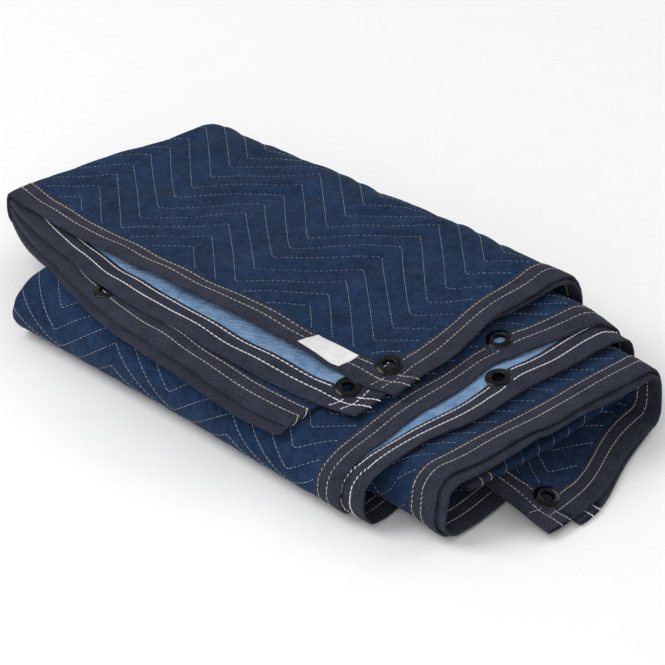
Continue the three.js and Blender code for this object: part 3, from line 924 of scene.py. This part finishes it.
def fine_cuts():
    """Fine cells that are cut away for an eyelet, the same on both faces."""
    middles = PANEL_POINTS.mean(axis=0)
    middles = (middles[:-1, :-1] + middles[1:, :-1] + middles[1:, 1:] + middles[:-1, 1:]) / 4
    kinds = np.array([cell[0] for cell in CELLS])
    cuts = np.zeros(middles.shape[:2], bool)
    for layer in LAYERS:
        columns = np.repeat(kinds == layer, FINE)
        cuts[:, columns] = near_eyelet(layer, middles[:, columns])
    return cuts


def make_panel():
    cuts = fine_cuts()
    fine = SEEN.copy()
    rows, columns = fine.shape[1:]
    cut_cells = cuts.reshape(rows, FINE, columns, FINE).any(axis=(1, 3))
    fine |= grown(cut_cells[None])
    count_rows, count_columns = len(ROWS), len(COLUMNS)

    def point(face, row, column):
        return (face * count_rows + row) * count_columns + column

    faces, materials = [], []

    def add(face, corners):
        faces.append(corners)
        materials.append(face)

    def edge(face, start, end, neighbour):
        """Points from one corner towards the next: all of them beside a fine cell."""
        i, j = neighbour
        inside = 0 <= i < rows and 0 <= j < columns
        steps = FINE if inside and fine[face, i, j] else 1
        marks = np.linspace(start, end, steps + 1)[:-1].round().astype(int)
        return [point(face, row, column) for row, column in marks]

    for face in range(2):
        for i in range(rows):
            for j in range(columns):
                top, left = i * FINE, j * FINE
                bottom, right = top + FINE, left + FINE
                if fine[face, i, j]:
                    for row in range(top, bottom):
                        for column in range(left, right):
                            if not cuts[row, column]:
                                add(face, [
                                    point(face, row, column), point(face, row + 1, column),
                                    point(face, row + 1, column + 1), point(face, row, column + 1),
                                ])
                else:
                    add(
                        face,
                        edge(face, (top, left), (bottom, left), (i, j - 1))
                        + edge(face, (bottom, left), (bottom, right), (i + 1, j))
                        + edge(face, (bottom, right), (top, right), (i, j + 1))
                        + edge(face, (top, right), (top, left), (i - 1, j)),
                    )

    def wall(a, b):
        add(0, [point(0, *a), point(0, *b), point(1, *b), point(1, *a)])

    for row, column in np.argwhere(cuts):
        sides = (
            ((row - 1, column), (row, column), (row, column + 1)),
            ((row + 1, column), (row + 1, column), (row + 1, column + 1)),
            ((row, column - 1), (row, column), (row + 1, column)),
            ((row, column + 1), (row, column + 1), (row + 1, column + 1)),
        )
        for beyond, a, b in sides:
            if not cuts[beyond]:
                wall(a, b)

    def rim(face_cells, marks):
        for cell, (a, b) in zip(face_cells, zip(marks, marks[1:])):
            ring = []
            for face, ends in ((0, (a, b)), (1, (b, a))):
                steps = FINE if fine[(face, *cell)] else 1
                path = np.linspace(*ends, steps + 1).round().astype(int)
                ring += [point(face, *mark) for mark in path]
            add(0, ring)

    last_row, last_column = count_rows - 1, count_columns - 1
    for j_cell, column in ((0, 0), (columns - 1, last_column)):
        rim([(i, j_cell) for i in range(rows)], [(i * FINE, column) for i in range(rows + 1)])
    for i_cell, row in ((0, 0), (rows - 1, last_row)):
        rim([(i_cell, j) for j in range(columns)], [(row, j * FINE) for j in range(columns + 1)])

    uvs = np.tile(np.stack([GRID_U, GRID_V], axis=-1).reshape(-1, 2), (2, 1))
    points = PANEL_POINTS.reshape(-1, 3)
    return new_piece("quilted_panel", points, faces, [NAVY, LIGHT_BLUE], materials, uvs)


def triangles(piece):
    return sum(len(face.vertices) - 2 for face in piece.data.polygons)


panel = make_panel()
print("panel:", triangles(panel), "triangles")

# %% [markdown]
# ## Binding tape
# A woven tape is folded over each edge and sewn down with two rows of thread. The rows pull it in, and
# between them it puckers. One section, from the inner edge on the navy face round the rim to the other
# face and back inside, is carried along each edge on the same fold rule as the cloth.

# %% Sections and paths of the tapes
TAPE_LIFT = {"outside": 1.45, "inside": 1.0, "hem": 1.12, "rim": 0.62}
HEM_FROM = 31.5
RIM_SHARE = 0.72
RIM_REACH = 1.2
STITCH_ROWS = (16.5, 28.0)
STITCH_DENT = 0.28
DENT_WIDTH = 1.1
TAPE_INSETS = (31.9, 31.2, 29.6, 28.0, 26.4, 22.5, 18.2, 16.5, 14.8, 10.0, 5.0, 2.2, 0.9)
TAPE_STEP = 3.0
PUCKERS = ((0.17, 9.1, 0.16), (0.11, 5.3, -0.31))
TAPE_JOIN = 32.3


def tape_lift(inset, along):
    """Height of the tape's outside over the middle of the cloth."""
    lift = TAPE_LIFT["outside"]
    if inset > HEM_FROM:
        return TAPE_LIFT["hem"] + np.zeros_like(along)
    dent = sum(math.exp(-(((inset - row) / DENT_WIDTH) ** 2)) for row in STITCH_ROWS)
    pucker = sum(
        size * np.sin(2 * math.pi * along / length + skew * inset) for size, length, skew in PUCKERS
    )
    rim = 1 - math.exp(-inset / RIM_REACH)
    return (lift - STITCH_DENT * dent + pucker * (1 - min(1.0, dent))) * lerp(RIM_SHARE, 1.0, rim)


def tape_section():
    """Rows of inset and which skin: outside on the navy face, rim, outside on the other, then inside."""
    navy = [(inset, "outside", 1) for inset in TAPE_INSETS]
    rim = [(0.25, "rim", 1), (0.0, "rim", 0), (0.25, "rim", -1)]
    other = [(inset, "outside", -1) for inset in reversed(TAPE_INSETS)]
    inside = [(inset, "inside", -1) for inset in TAPE_INSETS[:-1]]
    inside += [(inset, "inside", 1) for inset in reversed(TAPE_INSETS[:-1])]
    return navy + rim + other + inside


SECTION = tape_section()


def section_lift(inset, skin, side, along):
    if skin == "outside":
        return side * tape_lift(inset, along)
    if skin == "rim":
        return side * TAPE_LIFT["rim"] + np.zeros_like(along)
    return side * TAPE_LIFT["inside"] + np.zeros_like(along)


def side_path(layer):
    along = np.arange(TAPE_JOIN, ROLL_LENGTH - TAPE_JOIN, TAPE_STEP)
    rings = [
        cloth_points(on_layer(layer, inset), along, section_lift(inset, skin, side, along))
        for inset, skin, side in SECTION
    ]
    return along, np.stack(rings, axis=1), [layer] * len(along)


def rim_cells():
    """The panel's cells across the strip, carried out to the rim at both ends."""
    cells = [list(cell) for cell in CELLS]
    cells[0][1], cells[0][3] = 0.0, 0.0
    cells[-1][2], cells[-1][4] = 0.0, cells[-1][4] + EDGE_INSET
    return cells


def end_columns(step):
    """Columns across all four layers and their folds, and their distance along the end."""
    columns, us, layers = [], [], []
    cells = rim_cells()
    for i, (kind, start, end, u_start, u_end) in enumerate(cells):
        parts = max(2, round((u_end - u_start) / step))
        for part in range(parts + (i == len(cells) - 1)):
            value = lerp(start, end, part / parts)
            columns.append(on_fold(kind, value) if kind in FOLDS else on_layer(kind, value))
            us.append(lerp(u_start, u_end, part / parts))
            layers.append(kind)
    return columns, np.array(us), layers


def end_path(end):
    columns, us, layers = end_columns(TAPE_STEP)
    insets = np.array([inset for inset, _, _ in SECTION])
    along = insets if end == "outer" else ROLL_LENGTH - insets
    rings = []
    for column, u in zip(columns, us):
        lifts = [section_lift(inset, skin, side, np.array(u)) for inset, skin, side in SECTION]
        rings.append(cloth_points(column, along, np.array(lifts, float)))
    return us, np.stack(rings), layers


# %% Make the four tapes
LAST_INSET = len(TAPE_INSETS)
AROUND = len(SECTION)


def skins(k):
    """The section's points at one inset: outside and inside on the navy face, then on the other."""
    return ((k, AROUND - 1 - k), (2 * LAST_INSET + 2 - k, 2 * LAST_INSET + 3 + k))


def tape_cuts(rings, layers):
    """Where the tape is cut away for an eyelet: a row along it and an inset."""
    navy = rings[:, : LAST_INSET - 1]
    middles = (navy[:-1, :-1] + navy[1:, :-1] + navy[1:, 1:] + navy[:-1, 1:]) / 4
    cuts = np.zeros(middles.shape[:2], bool)
    for layer in LAYERS:
        rows = np.array([here == layer for here in layers[:-1]])
        cuts[rows] = near_eyelet(layer, middles[rows])
    return cuts


def make_tape(name, path):
    along, rings, layers = path
    count = len(along)
    cuts = tape_cuts(rings, layers)
    gone = np.zeros((count - 1, AROUND), bool)

    def point(i, j):
        return i * AROUND + j % AROUND

    walls = []
    for i, k in np.argwhere(cuts):
        gone[i, [k, AROUND - 2 - k, 2 * LAST_INSET + 1 - k, 2 * LAST_INSET + 3 + k]] = True
        if k == 0:
            gone[i, [AROUND - 1, 2 * LAST_INSET + 2]] = True
        sides = (
            (i - 1, k, (i, k), (i, k + 1)), (i + 1, k, (i + 1, k), (i + 1, k + 1)),
            (i, k + 1, (i, k + 1), (i + 1, k + 1)), (i, k - 1, (i, k), (i + 1, k)),
        )
        for row, inset, a, b in sides:
            open_hem = inset < 0
            beyond = 0 <= row < len(cuts) and inset < cuts.shape[1] and cuts[row, inset]
            if not open_hem and not beyond:
                for skin in range(2):
                    (out_a, in_a), (out_b, in_b) = skins(a[1])[skin], skins(b[1])[skin]
                    walls.append([
                        point(a[0], out_a), point(b[0], out_b), point(b[0], in_b), point(a[0], in_a),
                    ])
    faces = [
        [point(i, j), point(i, j + 1), point(i + 1, j + 1), point(i + 1, j)]
        for i, j in np.argwhere(~gone)
    ]
    faces += walls
    faces.append([point(0, j) for j in range(AROUND)])
    faces.append([point(count - 1, j) for j in range(AROUND)])
    widths = np.array([inset * side for inset, _, side in SECTION])
    uvs = np.stack([np.repeat(along, AROUND), np.tile(widths, count)], axis=-1)
    return new_piece(name, rings.reshape(-1, 3), faces, [TAPE], None, uvs)


tapes = {
    "binding_outer_end": make_tape("tape_outer_end", end_path("outer")),
    "binding_inner_end": make_tape("tape_inner_end", end_path("inner")),
    "binding_top_side": make_tape("tape_top_side", side_path("top")),
    "binding_second_side": make_tape("tape_second_side", side_path("second")),
}
for node, tape in tapes.items():
    print(tape.name, triangles(tape), "triangles")

# %% [markdown]
# ## Stitches
# Thousands of stitches are one short arched thread, repeated. Geometry Nodes set one on every point of
# a cloud, turned along its seam and out of the cloth. The points come from the seams' rules, and those
# that nobody can see are left out.

# %% Node tree for a stitch
def stitch_tree():
    tree = bpy.data.node_groups.new("stitches", "GeometryNodeTree")
    face = tree.interface
    face.new_socket("Geometry", in_out="INPUT", socket_type="NodeSocketGeometry")
    for name, value in (("Length", 4.4), ("Thickness", 1.0), ("Rise", 0.7)):
        socket = face.new_socket(name, in_out="INPUT", socket_type="NodeSocketFloat")
        socket.default_value = value * MM
    for name, value in (("Sides", 5), ("Parts", 4)):
        socket = face.new_socket(name, in_out="INPUT", socket_type="NodeSocketInt")
        socket.default_value = value
    face.new_socket("Thread", in_out="INPUT", socket_type="NodeSocketMaterial")
    face.new_socket("Geometry", in_out="OUTPUT", socket_type="NodeSocketGeometry")
    nodes, links = tree.nodes, tree.links
    given = nodes.new("NodeGroupInput")
    made = nodes.new("NodeGroupOutput")

    def scaled(socket, factor):
        node = nodes.new("ShaderNodeMath")
        node.operation = "MULTIPLY"
        links.new(socket, node.inputs[0])
        node.inputs[1].default_value = factor
        return node.outputs[0]

    def corner(x, z):
        node = nodes.new("ShaderNodeCombineXYZ")
        links.new(scaled(given.outputs["Length"], x), node.inputs["X"])
        links.new(scaled(given.outputs["Rise"], z), node.inputs["Z"])
        return node.outputs[0]

    arch = nodes.new("GeometryNodeCurveQuadraticBezier")
    links.new(given.outputs["Parts"], arch.inputs["Resolution"])
    for name, x, z in (("Start", -0.5, -0.6), ("Middle", 0.0, 1.4), ("End", 0.5, -0.6)):
        links.new(corner(x, z), arch.inputs[name])
    profile = nodes.new("GeometryNodeCurvePrimitiveCircle")
    links.new(given.outputs["Sides"], profile.inputs["Resolution"])
    links.new(scaled(given.outputs["Thickness"], 0.5), profile.inputs["Radius"])
    thread = nodes.new("GeometryNodeCurveToMesh")
    thread.inputs["Fill Caps"].default_value = True
    links.new(arch.outputs["Curve"], thread.inputs["Curve"])
    links.new(profile.outputs["Curve"], thread.inputs["Profile Curve"])

    def stored(name):
        node = nodes.new("GeometryNodeInputNamedAttribute")
        node.data_type = "FLOAT_VECTOR"
        node.inputs["Name"].default_value = name
        return node.outputs["Attribute"]

    upright = nodes.new("FunctionNodeAlignRotationToVector")
    upright.axis = "Z"
    links.new(stored("out"), upright.inputs["Vector"])
    along = nodes.new("FunctionNodeAlignRotationToVector")
    along.axis = "X"
    along.pivot_axis = "Z"
    links.new(upright.outputs["Rotation"], along.inputs["Rotation"])
    links.new(stored("along"), along.inputs["Vector"])
    instances = nodes.new("GeometryNodeInstanceOnPoints")
    links.new(given.outputs["Geometry"], instances.inputs["Points"])
    links.new(thread.outputs["Mesh"], instances.inputs["Instance"])
    links.new(along.outputs["Rotation"], instances.inputs["Rotation"])
    real = nodes.new("GeometryNodeRealizeInstances")
    rounded = nodes.new("GeometryNodeSetShadeSmooth")
    finish = nodes.new("GeometryNodeSetMaterial")
    links.new(instances.outputs["Instances"], real.inputs["Geometry"])
    links.new(real.outputs["Geometry"], rounded.inputs["Geometry"])
    links.new(rounded.outputs["Geometry"], finish.inputs["Geometry"])
    links.new(given.outputs["Thread"], finish.inputs["Material"])
    links.new(finish.outputs["Geometry"], made.inputs["Geometry"])
    return tree


STITCH_TREE = stitch_tree()
ITEMS = STITCH_TREE.interface.items_tree
SOCKETS = {item.name: item.identifier for item in ITEMS if item.in_out == "INPUT"}
print("stitch tree inputs:", list(SOCKETS))


# %% Sew a cloud of stitches
def sew(name, points, along, out, thread, material):
    """One piece of stitches at points in millimetres."""
    cloud = bpy.data.meshes.new(name + "_points")
    cloud.from_pydata(in_metres(points).tolist(), [], [])
    for key, values in (("along", along), ("out", out)):
        attribute = cloud.attributes.new(key, "FLOAT_VECTOR", "POINT")
        attribute.data.foreach_set("vector", np.asarray(values, float).ravel())
    source = bpy.data.objects.new(name + "_points", cloud)
    bpy.context.scene.collection.objects.link(source)
    modifier = source.modifiers.new("stitches", "NODES")
    modifier.node_group = STITCH_TREE
    for key, value in thread.items():
        modifier[SOCKETS[key]] = value if isinstance(value, int) else value * MM
    modifier[SOCKETS["Thread"]] = material
    evaluated = source.evaluated_get(bpy.context.evaluated_depsgraph_get())
    mesh = bpy.data.meshes.new_from_object(evaluated)
    bpy.data.objects.remove(source)
    piece = bpy.data.objects.new(name, mesh)
    piece.data.name = name
    bpy.context.scene.collection.objects.link(piece)
    print(name, len(points), "stitches,", triangles(piece), "triangles")
    return piece


def unit(vectors):
    return vectors / np.maximum(np.linalg.norm(vectors, axis=-1, keepdims=True), 1e-9)


# %% Stitches of the quilting
QUILT_THREAD = {"Length": 4.3, "Thickness": 0.46, "Rise": 0.5, "Sides": 3, "Parts": 3}
QUILT_STEP = 4.8
SEAM_PART = 1.0
SEAM_INSET = STEP[1] + 1
LEAST_RUN = 5
CLEAR_OF_EYELET = 14.5
LEAST_HEIGHT = 1.6


def grid_points(face, rows, columns):
    """Points of the panel's fine grid at fractions of a row and column."""
    i = np.clip(rows.astype(int), 0, len(ROWS) - 2)
    j = np.clip(columns.astype(int), 0, len(COLUMNS) - 2)
    a, b = (rows - i)[:, None], (columns - j)[:, None]
    grid = PANEL_POINTS[face]
    near = lerp(grid[i, j], grid[i, j + 1], b)
    return lerp(near, lerp(grid[i + 1, j], grid[i + 1, j + 1], b), a)


def seam_crossings():
    """For every seam, the fraction of a row where it crosses each column of the grid."""
    heights = GRID_V - quilt_line(GRID_U)
    first = math.ceil(heights.min() / QUILT["pitch"])
    marks = np.arange(first, heights.max() / QUILT["pitch"]) * QUILT["pitch"]
    rows = np.arange(len(ROWS))
    crossings = [np.interp(marks, column, rows, left=np.nan, right=np.nan) for column in heights.T]
    return np.stack(crossings, axis=1)


def clear_of_eyelets(kinds, points):
    """Which points keep clear of the eyelets on their own layer."""
    clear = np.ones(len(points), bool)
    for layer in LAYERS:
        here = np.asarray(kinds) == layer
        clear[here] = ~near_eyelet(layer, points[here], CLEAR_OF_EYELET)
    return clear


def long_runs(keep):
    """Stitches that are kept, without runs too short to show as a seam."""
    ends = np.flatnonzero(np.diff(np.concatenate([[0], keep.astype(int), [0]])))
    for start, end in zip(ends[::2], ends[1::2]):
        if end - start < LEAST_RUN:
            keep[start:end] = False
    return keep


def quilt_stitches(face):
    kinds = np.array([cell[0] for cell in CELLS])
    found = []
    for line in seam_crossings():
        crossed = np.flatnonzero(np.isfinite(line))
        path = grid_points(face, line[crossed], crossed.astype(float))
        lengths = np.linalg.norm(np.diff(path, axis=0), axis=1)
        lengths = np.concatenate([[0.0], np.cumsum(lengths)])
        at = np.arange(QUILT_STEP, lengths[-1] - QUILT_STEP, QUILT_STEP)
        sampled = [
            (np.interp(at + shift, lengths, line[crossed]), np.interp(at + shift, lengths, crossed))
            for shift in (-SEAM_PART, 0.0, SEAM_PART)
        ]
        rows, columns = sampled[1]
        cells = [
            np.clip(c.astype(int) // FINE, 0, size - 1)
            for c, size in zip((rows, columns), SEEN.shape[1:])
        ]
        along = np.interp(rows, np.arange(len(ROWS)), ROWS)
        across_strip = np.interp(columns, np.arange(len(COLUMN_U)), COLUMN_U)
        from_rim = np.minimum(along, ROLL_LENGTH - along)
        to_far_rim = COLUMN_U[-1] + EDGE_INSET - across_strip
        from_rim = np.minimum(from_rim, np.minimum(across_strip, to_far_rim))
        keep = long_runs((from_rim > SEAM_INSET) & SEEN[face, cells[0], cells[1]])
        if not keep.any():
            continue
        before, middle, after = (grid_points(face, r[keep], c[keep]) for r, c in sampled)
        other = grid_points(1 - face, rows[keep], columns[keep])
        way = unit(after - before)
        out = middle - other
        out = unit(out - way * (out * way).sum(axis=1, keepdims=True))
        clear = (middle[:, 2] > LEAST_HEIGHT) & clear_of_eyelets(kinds[cells[1][keep]], middle)
        found.append((middle[clear], way[clear], out[clear]))
    return [np.concatenate(part) for part in zip(*found)]


quilt_navy = sew("stitches_quilt_navy", *quilt_stitches(0), QUILT_THREAD, QUILT_WHITE)
quilt_blue = sew("stitches_quilt_blue", *quilt_stitches(1), QUILT_THREAD, QUILT_WHITE)

# %% Stitches of the tapes
TAPE_THREADS = {
    1: {"Length": 4.0, "Thickness": 0.8, "Rise": 0.55, "Sides": 5, "Parts": 4},
    -1: {"Length": 4.6, "Thickness": 1.0, "Rise": 0.6, "Sides": 5, "Parts": 4},
}
TAPE_STITCH_STEP = 4.8
THREAD_OVER = 0.1
SIGHT_START = 0.3
LINE_PART = 1.0
LINE_MARGIN = 5.0


def even_rows(column, step):
    """Distances along the roll that lie an even step apart on the cloth, also where it is stretched."""
    along = np.arange(LINE_MARGIN, ROLL_LENGTH - LINE_MARGIN, LINE_PART)
    parts = np.linalg.norm(np.diff(cloth_points(column, along, 0.0), axis=0), axis=1)
    lengths = np.concatenate([[0.0], np.cumsum(parts)])
    return np.interp(np.arange(0.0, lengths[-1], step), lengths, along)


def tape_rows():
    """Lines of stitches on both faces: their layers, points, and points a little further out."""
    lines = []
    for side in (1, -1):
        for inset in STITCH_ROWS:
            for layer in ("top", "second"):
                column = on_layer(layer, inset)
                along = even_rows(column, TAPE_STITCH_STEP)
                lift = side * (tape_lift(inset, along) + THREAD_OVER)
                points = cloth_points(column, along, lift)
                outer = cloth_points(column, along, lift + side)
                lines.append((side, [layer] * len(along), points, outer))
            columns, us, layers = end_columns(TAPE_STITCH_STEP)
            for end_along in (inset, ROLL_LENGTH - inset):
                lifts = side * (tape_lift(inset, us) + THREAD_OVER)
                both = np.stack([
                    cloth_points(column, [end_along, end_along], np.array([lift, lift + side]))
                    for column, lift in zip(columns, lifts)
                ])
                lines.append((side, layers, both[:, 0], both[:, 1]))
    return lines


def sewn_tree():
    """A tree for rays, from the finished panel and tapes."""
    points, faces = [], []
    for piece in (panel, *tapes.values()):
        start = len(points)
        points += [tuple(vertex.co) for vertex in piece.data.vertices]
        faces += [[start + i for i in face.vertices] for face in piece.data.polygons]
    return BVHTree.FromPolygons(points, faces)


def tape_stitches(wanted):
    found = []
    for side, layers, points, outer in TAPE_LINES:
        if side != wanted:
            continue
        along = unit(np.gradient(points, axis=0))
        out = unit(outer - points)
        placed = in_metres(points)
        seen = [is_seen(SEWN, Vector(p), Vector(o), SIGHT_START * MM) for p, o in zip(placed, out)]
        keep = np.array(seen)
        keep &= (points[:, 2] > LEAST_HEIGHT) & clear_of_eyelets(layers, points)
        found.append((points[keep], along[keep], out[keep]))
    return [np.concatenate(part) for part in zip(*found)]


SEWN = sewn_tree()
TAPE_LINES = tape_rows()
tape_navy = sew("stitches_tape_navy", *tape_stitches(1), TAPE_THREADS[1], GREY_THREAD)
tape_blue = sew("stitches_tape_blue", *tape_stitches(-1), TAPE_THREADS[-1], WHITE_THREAD)

# %% [markdown]
# ## Eyelets
# Each eyelet is a rolled ring of enamelled metal on both faces with a barrel between. A profile turned
# about its axis is the quickest true shape: a rounded flange, a rolled lip and an open hole.

# %% Turn the eyelets
EYELET_SIDES = 48
EYELET_PROFILE = (
    (6.0, 0.0), (6.0, 1.5), (6.15, 2.2), (6.6, 2.75), (7.4, 3.0), (8.4, 2.95), (9.6, 2.7),
    (10.8, 2.4), (11.8, 2.05), (12.4, 1.75), (12.6, 1.5), (12.4, 1.32), (9.0, 1.3), (7.2, 1.25),
    (7.0, 0.9),
)


def make_eyelet(node):
    middle, across_way, out = PLACES[node]
    sideways = out.cross(across_way).normalized()
    upper = list(EYELET_PROFILE)
    lower = [(radius, -height) for radius, height in reversed(EYELET_PROFILE[1:])]
    outline = upper + lower
    points, faces = [], []
    for i in range(EYELET_SIDES):
        angle = 2 * math.pi * i / EYELET_SIDES
        spoke = across_way * math.cos(angle) + sideways * math.sin(angle)
        points += [middle + spoke * radius + out * height for radius, height in outline]
    count = len(outline)
    for i in range(EYELET_SIDES):
        for j in range(count):
            a, b = i * count + j, i * count + (j + 1) % count
            onward = ((i + 1) % EYELET_SIDES - i) * count
            faces.append([a, b, b + onward, a + onward])
    name = node.replace("eyelet", "ring")
    return new_piece(name, np.array([tuple(p) for p in points]), faces, [ENAMEL])


rings = {node: make_eyelet(node) for node in EYELETS}
print(len(rings), "eyelets of", triangles(rings["eyelet_top_corner"]), "triangles")

# %% [markdown]
# ## Label
# A small white label is sewn on the binding near the corner. It is a thin cloth with turned edges, so
# it is a grid that follows the tape and curls a little at its ends.

# %% Make the label
LABEL = {
    "inset": 63.0, "length": 41.0, "from": 4.0, "width": 26.0,
    "thick": 0.5, "over": 0.25, "curl": 0.7, "hem": 0.18,
}
LABEL_GRID = (28, 18)


def make_label():
    across_count, along_count = LABEL_GRID
    along = LABEL["from"] + LABEL["width"] * np.linspace(0, 1, along_count + 1)
    sheets = []
    for lift in (LABEL["over"] + LABEL["thick"], LABEL["over"]):
        columns = []
        for share in np.linspace(0, 1, across_count + 1):
            curl = LABEL["curl"] * (2 * abs(share - 0.5)) ** 6
            hem = LABEL["hem"] * (np.abs(np.linspace(-1, 1, along_count + 1)) > 0.8)
            column = on_layer("top", LABEL["inset"] + share * LABEL["length"])
            height = TAPE_LIFT["outside"] + lift + curl + hem
            columns.append(cloth_points(column, along, height))
        sheets.append(np.stack(columns, axis=1))
    rows, columns = along_count + 1, across_count + 1

    def point(sheet, i, j):
        return (sheet * rows + i) * columns + j

    faces = []
    for sheet in range(2):
        for i in range(along_count):
            for j in range(across_count):
                faces.append([
                    point(sheet, i, j), point(sheet, i + 1, j),
                    point(sheet, i + 1, j + 1), point(sheet, i, j + 1),
                ])
    border = [(0, j) for j in range(across_count)] + [(i, across_count) for i in range(along_count)]
    border += [(along_count, j) for j in range(across_count, 0, -1)]
    border += [(i, 0) for i in range(along_count, 0, -1)]
    for a, b in zip(border, border[1:] + border[:1]):
        faces.append([point(0, *a), point(0, *b), point(1, *b), point(1, *a)])
    us, vs = np.meshgrid(np.linspace(0, LABEL["length"], columns), np.linspace(0, LABEL["width"], rows))
    uvs = np.tile(np.stack([us, vs], axis=-1).reshape(-1, 2), (2, 1))
    points = np.stack(sheets).reshape(-1, 3)
    return new_piece("bare_label", points, faces, [LABEL_CLOTH], None, uvs)


label = make_label()
print("label:", triangles(label), "triangles")

# %% [markdown]
# ## Floor and light
# A pale floor and large soft lights, as in a product photo: a wide key from the upper left, a fill from
# the right and an even bright surround, so that the shadows stay soft.

# %% Set the floor and the lights
FLOOR_SIZE = 12.0
FLOOR_DARK = (0.89, 0.89, 0.89, 1)
FLOOR_LIGHT = (0.9, 0.9, 0.9, 1)
SURROUND = 0.55
LIGHTS = (
    ("key", (-1.4, -1.6, 2.6), 2.2, 58.0),
    ("fill", (1.8, -2.2, 1.4), 2.4, 34.0),
    ("back", (0.4, 2.6, 2.2), 2.0, 18.0),
)


def make_floor():
    half = FLOOR_SIZE / 2
    mesh = bpy.data.meshes.new("studio_floor")
    corners = [(-half, -half, 0), (half, -half, 0), (half, half, 0), (-half, half, 0)]
    mesh.from_pydata(corners, [], [[0, 1, 2, 3]])
    finish = Finish("pale_floor", 0.6, specular=0.2)
    speckle = finish.noise(finish.place(), 30.0, 3.0)
    finish.colour(finish.mix(finish.spread(speckle, 0.3, 0.7), FLOOR_DARK, FLOOR_LIGHT))
    mesh.materials.append(finish.material)
    floor = bpy.data.objects.new("studio_floor", mesh)
    bpy.context.scene.collection.objects.link(floor)
    return floor


def make_light(name, place, size, power):
    data = bpy.data.lights.new(name, "AREA")
    data.shape = "DISK"
    data.size = size
    data.energy = power
    light = bpy.data.objects.new(name, data)
    light.location = place
    light.rotation_euler = (-Vector(place)).to_track_quat("-Z", "Y").to_euler()
    bpy.context.scene.collection.objects.link(light)


def make_surround(strength):
    world = bpy.data.worlds.new("studio_surround")
    world.use_nodes = True
    background = world.node_tree.nodes["Background"]
    background.inputs["Color"].default_value = (1.0, 1.0, 1.0, 1)
    background.inputs["Strength"].default_value = strength
    bpy.context.scene.world = world


floor = make_floor()
for light in LIGHTS:
    make_light(*light)
make_surround(SURROUND)
bpy.context.scene.view_settings.view_transform = "Standard"
print("lights:", [light[0] for light in LIGHTS])

# %% [markdown]
# ## Join the pieces to the model
# Every piece rides on the model's one body and stands for a solid. The panel is one cut cloth,
# however often it is folded.


BODY = "root"
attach(panel, BODY)
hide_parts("panel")
for node, tape in tapes.items():
    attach(tape, BODY)
    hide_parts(node)
for node, ring in rings.items():
    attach(ring, BODY)
    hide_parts(node)
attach(label, BODY)
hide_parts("label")
stitches = {
    quilt_navy: "quilted_cloth", quilt_blue: "quilted_cloth",
    tape_navy: "binding_tape", tape_blue: "binding_tape",
}
for piece, slot in stitches.items():
    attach(piece, BODY)
